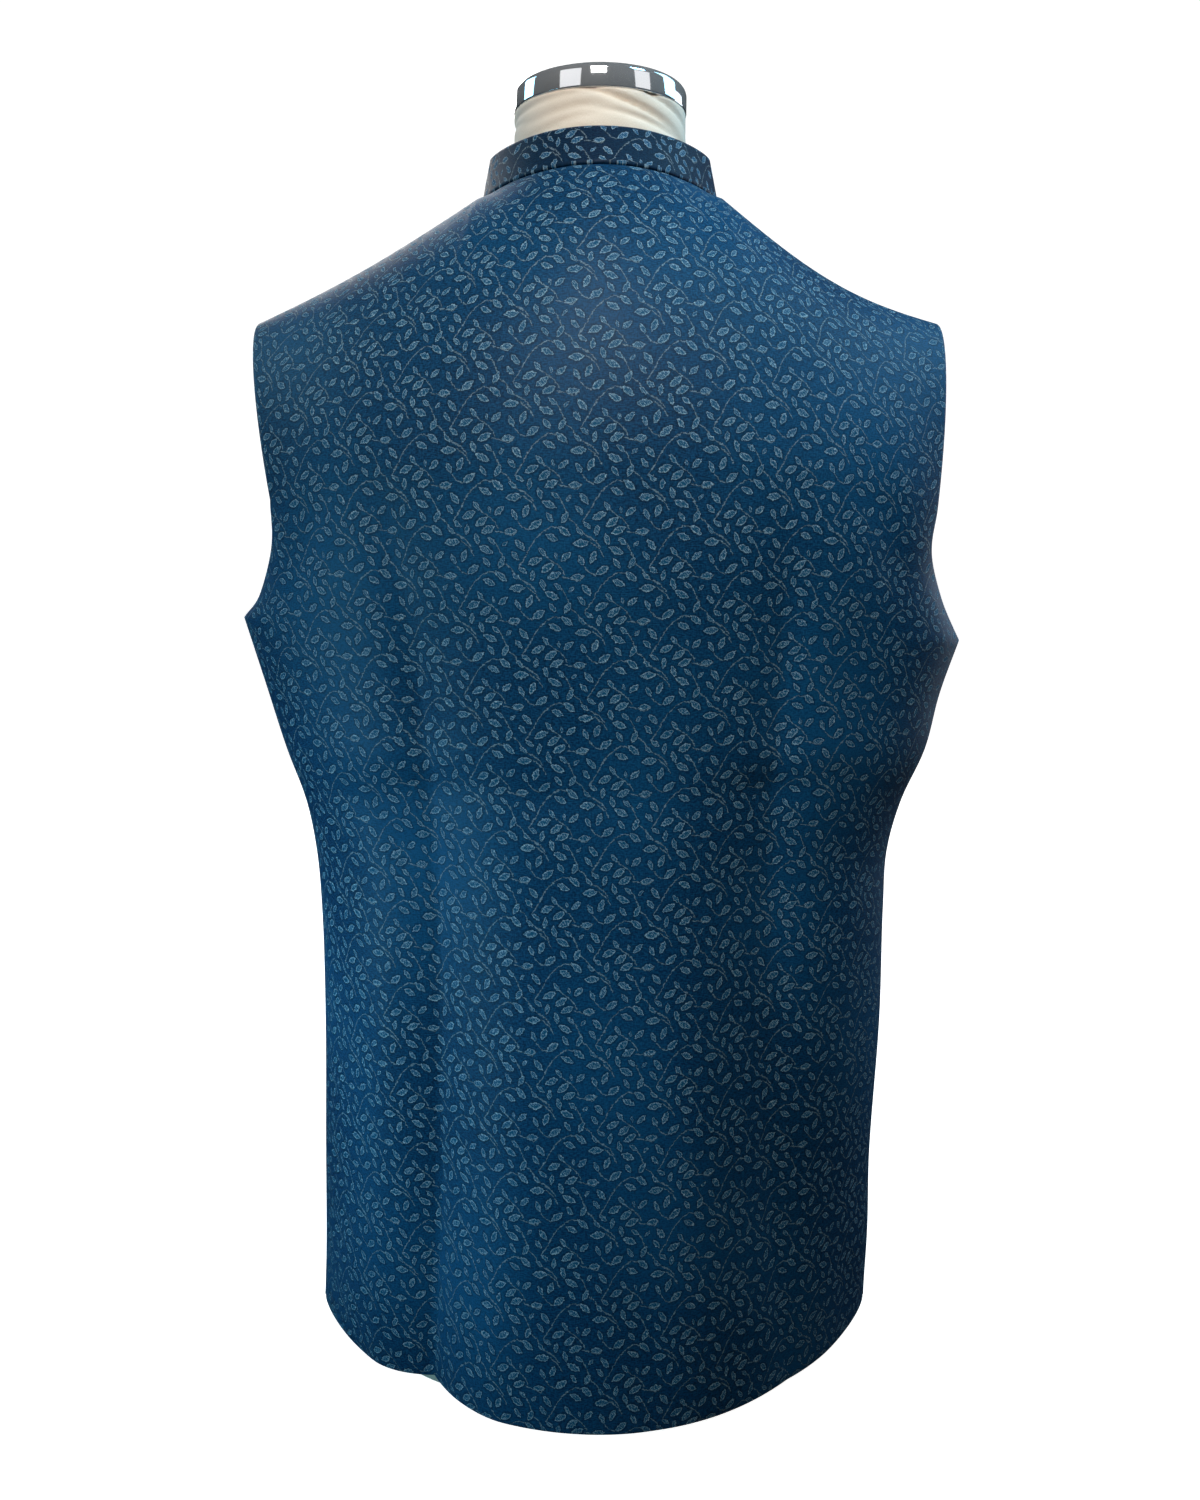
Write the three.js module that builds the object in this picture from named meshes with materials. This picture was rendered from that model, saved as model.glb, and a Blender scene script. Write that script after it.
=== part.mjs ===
// A sleeveless stand-collar jacket, buttoned up on a limbless dress form.
// Millimetres, +Z up. The origin is the middle of the form's flat underside.
// The jacket faces -Y, its back is towards +Y and the wearer's left is +X.
import * as THREE from 'three';
import { mergeVertices } from 'three/addons/utils/BufferGeometryUtils.js';

const degree = Math.PI / 180;

// Cloth
const wall = 2.0;               // panels: cloth, interlining and lining together
const collarWall = 3.0;         // collar, with its stiffener
const seamGap = 0.3;            // between two pieces sewn to each other
const collarGap = 0.7;          // between the collar's lower edge and the neck edge
const overlap = 18;             // each front past the centre line
const underlap = 2.8;           // the right front lies this far under the left one
const underlapReach = 45;       // over which it goes in to there
const ventTop = 74;             // height where the side vents start
const ventHalfWidth = 1.6;      // each side of a vent at the hem
const wingStart = 0.4;          // share of a level's turn after which the wing spreads
const ventCurve = 8;            // how close to the side edge a vent's pull stays
const foldReach = { inner: 66, outer: 44 };  // how far a dart's hollow spreads to each side
const foldCurve = 1.7;          // over 1 makes a dart's hollow sharper at its line

// Neck edge and shoulders
const neck = {
  across: 74, centreY: -4, deep: 76, front: 78, backZ: 767,
  sideDip: 2, frontDrop: 77, frontCurve: 1.6, pinch: 1.6,
};
const shoulderTurn = 90;        // angle round the neck, from the back, of the shoulder seam
const shoulderTip = { left: 217, right: 214.5, y: -6, z: 692.6 };
const shoulderHollow = { left: 4, right: 11.5 };
const neckShare = 0.34;         // share of a panel's columns that end on the neck edge
const foldShare = 0.42;         // column share at which the dart runs
const overlapShare = 0.08;      // column share given to the overlap
const yokeTurn = { middle: 50, seam: 90 };

// The levels of the back, from the hem to the shoulder blades. mid is how far the centre
// lies behind the origin, left and right are half-widths, wing is the extra width at the
// edge, seam is the edge's own Y, rise is how far the edge lies above the centre, turn is the
// angle the row turns through, and flat over 1 makes the row's shoulders leaner.
const backLevels = [
  { z: 10, mid: 140, left: 201, right: 192.5, wing: 0, seam: 0, riseLeft: 0, riseRight: 0, turn: 90, flat: 1.55 },
  { z: 65, mid: 134, left: 198.5, right: 194, wing: 0, seam: 0, riseLeft: 0, riseRight: 0, turn: 90, flat: 1.45 },
  { z: 125, mid: 127, left: 196.5, right: 193, wing: 0, seam: 0, riseLeft: 0, riseRight: 0, turn: 90, flat: 1.4 },
  { z: 230, mid: 117, left: 192.5, right: 196, wing: 0, seam: 0, riseLeft: 0, riseRight: 0, turn: 90, flat: 1.3 },
  { z: 312, mid: 111, left: 191.5, right: 195, wing: 0, seam: 0, riseLeft: 0, riseRight: 0, turn: 90, flat: 1.2 },
  { z: 350, mid: 110, left: 193.5, right: 196, wing: 0, seam: 0, riseLeft: 0, riseRight: 0, turn: 90, flat: 1.2 },
  { z: 385, mid: 110.5, left: 198, right: 203, wing: 1, seam: 0, riseLeft: 0, riseRight: 0, turn: 90, flat: 1.15 },
  { z: 420, mid: 112, left: 206.5, right: 214, wing: 4, seam: 0, riseLeft: 1, riseRight: -1, turn: 90, flat: 1.1 },
  { z: 460, mid: 116, left: 211, right: 215, wing: 11, seam: 0, riseLeft: 4, riseRight: -4, turn: 90, flat: 1.05 },
  { z: 500, mid: 120, left: 212, right: 215, wing: 22, seam: 0, riseLeft: 8, riseRight: -9, turn: 90, flat: 1 },
  { z: 528, mid: 123.5, left: 209, right: 210, wing: 9, seam: 25, riseLeft: -6, riseRight: -9, turn: 82, flat: 1 },
  { z: 556, mid: 126, left: 202, right: 204, wing: 1, seam: 50, riseLeft: -6, riseRight: -10, turn: 70, flat: 1 },
  { z: 600, mid: 128, left: 201, right: 206, wing: 0, seam: 54, riseLeft: -19, riseRight: -25, turn: 64, flat: 1 },
];
const frontLevels = [
  { z: 10, mid: 126, turn: 90, flat: 1.25 },
  { z: 65, mid: 124, turn: 90, flat: 1.25 },
  { z: 125, mid: 121, turn: 90, flat: 1.2 },
  { z: 230, mid: 117, turn: 90, flat: 1.2 },
  { z: 312, mid: 114, turn: 90, flat: 1.15 },
  { z: 350, mid: 114, turn: 90, flat: 1.15 },
  { z: 385, mid: 115, turn: 90, flat: 1.1 },
  { z: 420, mid: 117, turn: 90, flat: 1.1 },
  { z: 460, mid: 121, turn: 90, flat: 1.05 },
  { z: 500, mid: 125, turn: 90, flat: 1 },
  { z: 520, mid: 126, left: 206, right: 207, wing: 8, seam: 28, riseLeft: 2, riseRight: -3, turn: 82, flat: 1 },
  { z: 540, mid: 127, left: 197, right: 198, wing: 1, seam: 56, riseLeft: 10, riseRight: 4, turn: 68, flat: 1 },
  { z: 562, mid: 127.5, left: 196, right: 198, wing: 0, seam: 63, riseLeft: 23, riseRight: 15, turn: 62, flat: 1 },
];
// Up to the underarm the two panels meet, so the front takes its edges from the back.
const underarm = backLevels.findIndex((level) => level.z === 500);
for (let i = 0; i <= underarm; i++) {
  const { left, right, wing, seam, riseLeft, riseRight } = backLevels[i];
  Object.assign(frontLevels[i], { left, right, wing, seam, riseLeft, riseRight });
}

// The long darts: how far each lies from the centre line and how deep its hollow is
const backFolds = [
  { z: 10, left: 120, leftDepth: 17, right: 125, rightDepth: 2 },
  { z: 125, left: 112, leftDepth: 16, right: 115, rightDepth: 8 },
  { z: 218, left: 107, leftDepth: 14, right: 108, rightDepth: 10 },
  { z: 311, left: 105, leftDepth: 13, right: 104, rightDepth: 10 },
  { z: 404, left: 106, leftDepth: 10, right: 105, rightDepth: 8 },
  { z: 512, left: 114, leftDepth: 5, right: 108, rightDepth: 4 },
  { z: 600, left: 126, leftDepth: 0, right: 112, rightDepth: 0 },
];
const frontFolds = [
  { z: 10, left: 98, leftDepth: 5, right: 100, rightDepth: 6 },
  { z: 218, left: 98, leftDepth: 7, right: 98, rightDepth: 6 },
  { z: 350, left: 100, leftDepth: 6, right: 99, rightDepth: 5 },
  { z: 500, left: 104, leftDepth: 0, right: 103, rightDepth: 0 },
  { z: 600, left: 108, leftDepth: 0, right: 107, rightDepth: 0 },
];

// Collar: a band that stands on the neck edge
const collar = { height: 27, leanBack: 28, leanSide: 12, leanFront: 4, endGap: 3, cornerRadius: 15 };

// Rows and columns of the panels
const lowerRows = 13;
const armholeRows = 4;
const yokeRows = 8;
const neckColumns = 9;
const foldColumns = 2;
const sideColumns = 8;
const overlapColumns = 2;
const collarColumns = 44;
const collarCornerColumns = 5;
const collarRows = 2;

// Buttons on the centre front
const button = {
  count: 5, topZ: 660, pitch: 98, radius: 9, rim: 1.6, dish: 2.6, depth: 3.4, gap: 0.5, sides: 20,
  heel: 1.2, heelHeight: 1, lip: 0.8, lipIn: 0.6, slope: 1,
};

// Form
const form = {
  floor: 0, neckRadius: 53, neckY: -3, neckTop: 814.5, neckFlare: 2.5,
  inset: { neck: 11, sink: 14, tip: 10, drop: 1 },
  neckColumns: 4, sideColumns: 7, lowerRows: 9, yokeRows: 7, neckRows: 5,
};
const formEase = [
  { z: 0, ease: 36, side: 34 },
  { z: 125, ease: 34, side: 32 },
  { z: 312, ease: 26, side: 27 },
  { z: 420, ease: 20, side: 38 },
  { z: 500, ease: 13, side: 26 },
  { z: 600, ease: 8, side: 9 },
];
const cap = { radius: 53.5, height: 14, edge: 4, gap: 0.4, edgeSteps: 5, sides: 48 };

// Small steps for slopes, in radians, shares and degrees, and how often a search halves its range
const probe = { angle: 0.02, share: 0.002, turn: 0.5, halvings: 40 };
const weld = 1e-3;              // points closer than this are one

const cloth = { color: 0x163a5c, roughness: 0.6, metalness: 0 };

// A value of a table at height z: a smooth curve through its rows
function curveAt(rows, key, z) {
  const last = rows.length - 1;
  const at = Math.min(Math.max(z, rows[0].z), rows[last].z);
  let i = 0;
  while (i < last - 1 && at > rows[i + 1].z) i++;
  const slope = (a, b) => (rows[b][key] - rows[a][key]) / (rows[b].z - rows[a].z);
  const inner = slope(i, i + 1);
  const before = i > 0 ? (slope(i - 1, i) + inner) / 2 : inner;
  const after = i + 2 <= last ? (inner + slope(i + 1, i + 2)) / 2 : inner;
  const span = rows[i + 1].z - rows[i].z;
  const t = (at - rows[i].z) / span;
  const t2 = t * t;
  const t3 = t2 * t;
  return rows[i][key] * (2 * t3 - 3 * t2 + 1) + rows[i + 1][key] * (3 * t2 - 2 * t3)
    + span * (before * (t3 - 2 * t2 + t) + after * (t3 - t2));
}

function rowAt(rows, z) {
  const row = { z };
  for (const key of Object.keys(rows[0])) {
    if (key !== 'z') row[key] = curveAt(rows, key, z);
  }
  return row;
}

const ease = (t) => {
  const c = Math.min(Math.max(t, 0), 1);
  return c * c * (3 - 2 * c);
};

// A point of one level. side is 1 for the back and -1 for the front; share runs from 0 at the
// centre line to 1 at the left edge or -1 at the right one; past is how far over the centre.
function levelPoint(row, fold, side, hand, share) {
  const half = hand > 0 ? row.left : row.right;
  const rise = hand > 0 ? row.riseLeft : row.riseRight;
  const foldX = hand > 0 ? fold.left : fold.right;
  const depth = hand > 0 ? fold.leftDepth : fold.rightDepth;
  const turn = row.turn * degree;
  const angleOf = (x) => Math.asin(x * Math.sin(turn) / half);
  let angle;
  if (share < 0) {
    angle = -angleOf(overlap) * -share / overlapShare;
  } else if (share < foldShare) {
    angle = angleOf(foldX) * share / foldShare;
  } else {
    const t = (share - foldShare) / (1 - foldShare);
    angle = angleOf(foldX) * (1 - t) + turn * t;
  }
  const lean = (a) => Math.pow(Math.max(Math.cos(a), 0), row.flat);
  const place = (a) => [
    half * Math.sin(a) / Math.sin(turn),
    row.mid - (row.mid - row.seam) * (1 - lean(a)) / (1 - lean(turn)),
  ];
  let [x, y] = place(angle);
  const across = Math.abs(angle) / turn;
  const [foldAtX, foldAtY] = place(angleOf(foldX));
  const reach = x < foldAtX ? foldReach.inner : foldReach.outer;
  const away = Math.hypot(x - foldAtX, y - foldAtY) / reach;
  if (away < 1 && depth > 0) {
    const [x1, y1] = place(angle - probe.angle);
    const [x2, y2] = place(angle + probe.angle);
    const length = Math.hypot(x2 - x1, y2 - y1);
    const inward = depth * Math.pow(1 - away, foldCurve);
    x += inward * (y2 - y1) / length;
    y -= inward * (x2 - x1) / length;
  }
  x += row.wing * ease((across - wingStart) / (1 - wingStart));
  return new THREE.Vector3(hand * x, side * y, row.z + rise * across * across);
}

// A point of the neck edge; turn is 0 at the back and 180 at the front
function neckPoint(turn, grow = 0) {
  const a = turn * degree;
  const c = Math.cos(a);
  const front = Math.pow(Math.max(-c, 0), neck.frontCurve);
  return new THREE.Vector3(
    (neck.across + grow) * Math.sin(a),
    neck.centreY + (c > 0 ? (neck.deep + grow) * Math.pow(c, neck.pinch) : (neck.front + grow) * c),
    neck.backZ - neck.sideDip * Math.sin(a) ** 2 - neck.frontDrop * front,
  );
}

// The top line of a panel: the neck edge, then the shoulder seam out to its tip
function topPoint(side, hand, share, inset) {
  let point;
  if (share <= neckShare) {
    const overlapTurn = Math.asin(overlap / neck.across) / degree;
    const reach = side > 0 ? shoulderTurn : 180 - shoulderTurn;
    const turned = share < 0 ? overlapTurn * share / overlapShare : reach * share / neckShare;
    point = neckPoint(side > 0 ? turned : 180 - turned, -inset.neck);
    point.z -= inset.sink;
  } else {
    const t = (share - neckShare) / (1 - neckShare);
    const inner = neckPoint(shoulderTurn, -inset.neck);
    inner.z -= inset.sink;
    const outer = new THREE.Vector3(
      (hand > 0 ? shoulderTip.left : shoulderTip.right) - inset.tip, shoulderTip.y,
      shoulderTip.z - inset.drop,
    );
    point = inner.lerp(outer, t);
    point.z -= (hand > 0 ? shoulderHollow.left : shoulderHollow.right) * Math.sin(Math.PI * t);
  }
  point.x *= hand;
  return point;
}

// The yoke rises from a panel's last level and bends over to the top line.
function yokePoint(low, top, share, t) {
  const bend = ease(Math.max(share, 0) / neckShare);
  const turn = (yokeTurn.middle + (yokeTurn.seam - yokeTurn.middle) * bend) * degree;
  const up = Math.sin(t * turn) / Math.sin(turn);
  const over = (1 - Math.cos(t * turn)) / (1 - Math.cos(turn));
  return new THREE.Vector3(
    low.x + (top.x - low.x) * up,
    low.y + (top.y - low.y) * over,
    low.z + (top.z - low.z) * up,
  );
}

// Panel heights run from 0 at the hem, through 1 at the underarm and 2 at the last level, to 3
function zOf(levels, height) {
  const stops = [levels[0].z, levels[underarm].z, levels[levels.length - 1].z];
  const i = Math.min(Math.floor(height), 1);
  return stops[i] + (stops[i + 1] - stops[i]) * (height - i);
}

const noInset = { neck: 0, sink: 0, tip: 0, drop: 0 };

function panelPoint(side, hand, share, height) {
  const levels = side > 0 ? backLevels : frontLevels;
  const folds = side > 0 ? backFolds : frontFolds;
  const z = zOf(levels, Math.min(height, 2));
  const part = height <= 1 ? levels.slice(0, underarm + 1) : levels.slice(underarm);
  const row = rowAt(part, z);
  row.seam += seamGap / 2;
  const low = levelPoint(row, rowAt(folds, z), side, hand, share);
  if (height <= 2) return low;
  const top = topPoint(side, hand, share, noInset);
  if (share >= neckShare) top.y += side * seamGap / 2;
  return yokePoint(low, top, share, height - 2);
}

// The vents pull the two panels' side edges apart below ventTop.
function opened(point, side, hand, share) {
  if (point.z < ventTop) {
    const open = (ventTop - point.z) / ventTop * Math.pow(Math.max(share, 0), ventCurve);
    point.y += side * ventHalfWidth * open;
    point.x += hand * (side < 0 ? ventHalfWidth : 0) * open;
  }
  return point;
}

function backSurface(share, height) {
  const hand = share < 0 ? -1 : 1;
  return opened(panelPoint(1, hand, Math.abs(share), height), 1, hand, Math.abs(share));
}

const leftSurface = (share, height) => opened(panelPoint(-1, 1, share, height), -1, 1, share);
const rightSurface = (share, height) => opened(panelPoint(-1, -1, share, height), -1, -1, share);

// Outward unit normal of a surface, from small steps each way
function normalOf(surface, share, height, range) {
  const step = probe.share;
  const clamp = (value, [low, high]) => Math.min(Math.max(value, low), high);
  const along = surface(clamp(share + step, range.share), height)
    .sub(surface(clamp(share - step, range.share), height));
  const up = surface(share, clamp(height + step, range.height))
    .sub(surface(share, clamp(height - step, range.height)));
  return along.cross(up).multiplyScalar(range.flip).normalize();
}

// A closed wall over a grid of outer points and their matching inner points
function wallGeometry(outer, inner, flip) {
  const rows = outer.length;
  const columns = outer[0].length;
  const position = [...outer.flat(), ...inner.flat()].flatMap((p) => [p.x, p.y, p.z]);
  const id = (layer, i, j) => (layer * rows + i) * columns + j;
  const index = [];
  const quad = (a, b, c, d) => {
    if (flip) index.push(a, c, b, a, d, c);
    else index.push(a, b, c, a, c, d);
  };
  for (let i = 0; i < rows - 1; i++) {
    for (let j = 0; j < columns - 1; j++) {
      quad(id(0, i, j), id(0, i, j + 1), id(0, i + 1, j + 1), id(0, i + 1, j));
      quad(id(1, i, j), id(1, i + 1, j), id(1, i + 1, j + 1), id(1, i, j + 1));
    }
  }
  for (let j = 0; j < columns - 1; j++) {
    quad(id(0, 0, j), id(1, 0, j), id(1, 0, j + 1), id(0, 0, j + 1));
    quad(id(0, rows - 1, j), id(0, rows - 1, j + 1), id(1, rows - 1, j + 1), id(1, rows - 1, j));
  }
  for (let i = 0; i < rows - 1; i++) {
    quad(id(0, i, 0), id(0, i + 1, 0), id(1, i + 1, 0), id(1, i, 0));
    quad(id(0, i, columns - 1), id(1, i, columns - 1), id(1, i + 1, columns - 1), id(0, i + 1, columns - 1));
  }
  const geometry = new THREE.BufferGeometry();
  geometry.setAttribute('position', new THREE.Float32BufferAttribute(position, 3));
  geometry.setIndex(index);
  geometry.computeVertexNormals();
  return geometry;
}

const steps = (from, to, count) => Array.from({ length: count }, (_, i) => from + (to - from) * i / count);

const halfShares = [
  ...steps(0, neckShare, neckColumns),
  ...steps(neckShare, foldShare, foldColumns),
  ...steps(foldShare, 1, sideColumns),
  1,
];
const frontShares = [...steps(-overlapShare, 0, overlapColumns), ...halfShares];
const backShares = [...halfShares.slice(1).reverse().map((share) => -share), ...halfShares];
const heights = [...steps(0, 1, lowerRows), ...steps(1, 2, armholeRows), ...steps(2, 3, yokeRows), 3];

function panelMesh(name, surface, shares, flip, sink) {
  const range = {
    share: [shares[0], shares[shares.length - 1]], height: [heights[0], heights[heights.length - 1]],
    flip: flip ? -1 : 1,
  };
  const outer = [];
  const inner = [];
  for (const height of heights) {
    const outerRow = [];
    const innerRow = [];
    for (const share of shares) {
      const point = surface(share, height);
      const normal = normalOf(surface, share, height, range);
      point.addScaledVector(normal, -sink(point));
      outerRow.push(point);
      innerRow.push(point.clone().addScaledVector(normal, -wall));
    }
    outer.push(outerRow);
    inner.push(innerRow);
  }
  return meshOf(name, wallGeometry(outer, inner, flip), cloth);
}

function meshOf(name, geometry, look) {
  const mesh = new THREE.Mesh(geometry, new THREE.MeshStandardMaterial(look));
  mesh.name = name;
  return mesh;
}

// The right front sinks under the left one towards the centre line.
const underLeft = (point) => underlap * ease((point.x + overlap + underlapReach) / underlapReach);
const notSunk = () => 0;

// The collar stands square to the neck edge and leans in towards the neck.
function collarPoint(turn, up, inward) {
  const hand = turn < 0 ? -1 : 1;
  const a = Math.abs(turn) * degree;
  const point = neckPoint(Math.abs(turn));
  const beside = neckPoint(Math.abs(turn) - probe.turn);
  const along = neckPoint(Math.abs(turn) + probe.turn).sub(beside).normalize();
  const backness = Math.max(Math.cos(a), 0) ** 2;
  const frontness = Math.max(-Math.cos(a), 0) ** 2;
  const lean = (collar.leanSide + (collar.leanBack - collar.leanSide) * backness
    + (collar.leanFront - collar.leanSide) * frontness) * degree;
  const out = new THREE.Vector3(Math.sin(a), Math.cos(a), 0);
  const rise = new THREE.Vector3(0, 0, Math.cos(lean)).addScaledVector(out, -Math.sin(lean));
  rise.addScaledVector(along, -rise.dot(along)).normalize();
  const face = along.clone().cross(rise).normalize();
  if (face.dot(out) < 0) face.negate();
  point.addScaledVector(rise, up).addScaledVector(face, -inward);
  point.z += collarGap;
  point.x *= hand;
  return point;
}

function collarMesh() {
  const endTurn = 180 - Math.asin(collar.endGap / neck.across) / degree;
  const perDegree = neckPoint(endTurn).distanceTo(neckPoint(endTurn - 1));
  const cornerTurn = collar.cornerRadius / perDegree;
  const plain = steps(-endTurn + cornerTurn, endTurn - cornerTurn, collarColumns);
  // columns close up round each rounded corner
  const corner = steps(0, 90, collarCornerColumns).map((a) => cornerTurn * Math.sin(a * degree));
  const turns = [
    ...[...corner.slice(1), cornerTurn].reverse().map((d) => -endTurn + cornerTurn - d),
    ...plain,
    ...[...corner, cornerTurn].map((d) => endTurn - cornerTurn + d),
  ];
  const heightAt = (turn) => {
    const into = Math.max(Math.abs(turn) - (endTurn - cornerTurn), 0) / cornerTurn;
    return collar.height - collar.cornerRadius * (1 - Math.sqrt(Math.max(1 - into * into, 0)));
  };
  const outer = [];
  const inner = [];
  for (let i = 0; i <= collarRows; i++) {
    outer.push(turns.map((turn) => collarPoint(turn, heightAt(turn) * i / collarRows, 0)));
    inner.push(turns.map((turn) => collarPoint(turn, heightAt(turn) * i / collarRows, collarWall)));
  }
  return meshOf('collar', wallGeometry(outer, inner, true), cloth);
}

function buttonMesh(number) {
  const { radius, rim, dish, depth, sides, heel, heelHeight, lip, lipIn, slope } = button;
  const profile = [
    [0, 0], [radius - heel, 0], [radius, heelHeight], [radius, depth - lip], [radius - lipIn, depth],
    [radius - rim, depth], [radius - rim - slope, dish], [0, dish],
  ].map(([r, h]) => new THREE.Vector2(r, h));
  const mesh = meshOf(`button_${number}`, new THREE.LatheGeometry(profile, sides), {
    color: 0x101c30, roughness: 0.35, metalness: 0,
  });
  const z = button.topZ - (number - 1) * button.pitch;
  const height = heightOfFront(z);
  const range = { share: [-overlapShare, 1], height: [0, 3], flip: 1 };
  const normal = normalOf(leftSurface, 0, height, range);
  mesh.position.copy(leftSurface(0, height)).addScaledVector(normal, button.gap);
  mesh.quaternion.setFromUnitVectors(new THREE.Vector3(0, 1, 0), normal);
  return mesh;
}

// The panel height at which the centre front reaches z
function heightOfFront(z) {
  let low = 0;
  let high = 3;
  for (let i = 0; i < probe.halvings; i++) {
    const mid = (low + high) / 2;
    if (leftSurface(0, mid).z < z) low = mid;
    else high = mid;
  }
  return low;
}

// The form's skin: a row of plain ovals inside the jacket, then a yoke under the panels' yoke.
// height runs from 0 at the floor, through 1 at the shoulder blades, to 2 at the shoulder line.
function formPoint(side, hand, share, height) {
  const levels = side > 0 ? backLevels : frontLevels;
  const up = Math.min(height, 1);
  const z = form.floor + (levels[levels.length - 1].z - form.floor) * up;
  const edgeZ = form.floor + (frontLevels[frontLevels.length - 1].z - form.floor) * up;
  const row = rowAt(levels, z);
  const inside = rowAt(formEase, z);
  const oval = {
    z, mid: row.mid - inside.ease, left: row.left - inside.side, right: row.right - inside.side,
    wing: 0, seam: 0, riseLeft: edgeZ - z, riseRight: edgeZ - z, turn: 90, flat: 1,
  };
  const even = Math.sin(foldShare * Math.PI / 2);
  const noFold = { left: oval.left * even, right: oval.right * even, leftDepth: 0, rightDepth: 0 };
  const low = levelPoint(oval, noFold, side, hand, share);
  if (height <= 1) return low;
  return yokePoint(low, topPoint(side, hand, share, form.inset), share, height - 1);
}

// The neck goes up from the edge of the yoke to a round top.
function formNeckPoint(base, t) {
  const turn = Math.atan2(base.x, base.y - form.neckY);
  const flare = Math.pow(1 - t, form.neckFlare);
  const x = form.neckRadius * Math.sin(turn);
  const y = form.neckY + form.neckRadius * Math.cos(turn);
  return new THREE.Vector3(
    x + (base.x - x) * flare, y + (base.y - y) * flare, base.z + (form.neckTop - base.z) * t,
  );
}

function formMesh() {
  const quarter = [...steps(0, neckShare, form.neckColumns), ...steps(neckShare, 1, form.sideColumns), 1];
  const back = quarter.slice().reverse();
  // once round the body: back centre, left side, front centre, right side
  const columns = [
    ...quarter.map((share) => [1, 1, share]), ...back.slice(1).map((share) => [-1, 1, share]),
    ...quarter.slice(1).map((share) => [-1, -1, share]),
    ...back.slice(1, -1).map((share) => [1, -1, share]),
  ];
  const rows = [...steps(0, 1, form.lowerRows), ...steps(1, 2, form.yokeRows), 2];
  const ringAt = (height) => columns.map(([side, hand, share]) => formPoint(side, hand, share, height));
  const rings = rows.map(ringAt);
  const collarLine = rings[rings.length - 1].filter((_, j) => columns[j][2] <= neckShare);
  const neckAt = (t) => collarLine.map((p) => formNeckPoint(p, t));
  const neckRings = [...steps(0, 1, form.neckRows), 1].map(neckAt);

  const triangles = [];
  const band = (lower, upper) => {
    for (let j = 0; j < lower.length; j++) {
      const k = (j + 1) % lower.length;
      triangles.push([lower[j], upper[j], upper[k]], [lower[j], upper[k], lower[k]]);
    }
  };
  for (let i = 0; i < rings.length - 1; i++) band(rings[i], rings[i + 1]);
  for (let i = 0; i < neckRings.length - 1; i++) band(neckRings[i], neckRings[i + 1]);
  const base = new THREE.Vector3(0, 0, form.floor);
  const crown = new THREE.Vector3(0, form.neckY, form.neckTop);
  const topRing = neckRings[neckRings.length - 1];
  rings[0].forEach((p, j) => triangles.push([base, p, rings[0][(j + 1) % rings[0].length]]));
  topRing.forEach((p, j) => triangles.push([crown, topRing[(j + 1) % topRing.length], p]));

  const real = triangles.filter(([a, b, c]) => Math.min(
    a.distanceTo(b), b.distanceTo(c), c.distanceTo(a),
  ) > weld / 10);
  const loose = new THREE.BufferGeometry();
  loose.setAttribute('position', new THREE.Float32BufferAttribute(
    real.flat().flatMap((p) => [p.x, p.y, p.z]), 3,
  ));
  const geometry = mergeVertices(loose, weld);
  geometry.computeVertexNormals();
  return meshOf('form_body', geometry, { color: 0xe9e2d4, roughness: 0.8, metalness: 0 });
}

// The polished cap closes the top of the neck.
function capMesh() {
  const { radius, height, edge, edgeSteps, sides } = cap;
  const rounded = [...steps(0, 90, edgeSteps), 90].map((a) => new THREE.Vector2(
    radius - edge + edge * Math.cos(a * degree), height - edge + edge * Math.sin(a * degree),
  ));
  const middle = [new THREE.Vector2(0, 0), new THREE.Vector2(0, height)];
  const profile = [middle[0], new THREE.Vector2(radius, 0), ...rounded, middle[1]];
  const mesh = meshOf('neck_cap', new THREE.LatheGeometry(profile, sides), {
    color: 0xd8dade, roughness: 0.08, metalness: 1,
  });
  mesh.position.set(0, form.neckY, form.neckTop + cap.gap);
  mesh.rotation.x = Math.PI / 2;
  return mesh;
}

const jacket = new THREE.Group();
jacket.add(panelMesh('back', backSurface, backShares, true, notSunk));
jacket.add(panelMesh('front_left', leftSurface, frontShares, false, notSunk));
jacket.add(panelMesh('front_right', rightSurface, frontShares, true, underLeft));
jacket.add(collarMesh());
for (let number = 1; number <= button.count; number++) jacket.add(buttonMesh(number));
jacket.add(formMesh());
jacket.add(capMesh());

export default jacket;
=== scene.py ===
import math

import bmesh
import bpy
import numpy as np
from mathutils import Matrix, Vector


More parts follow.
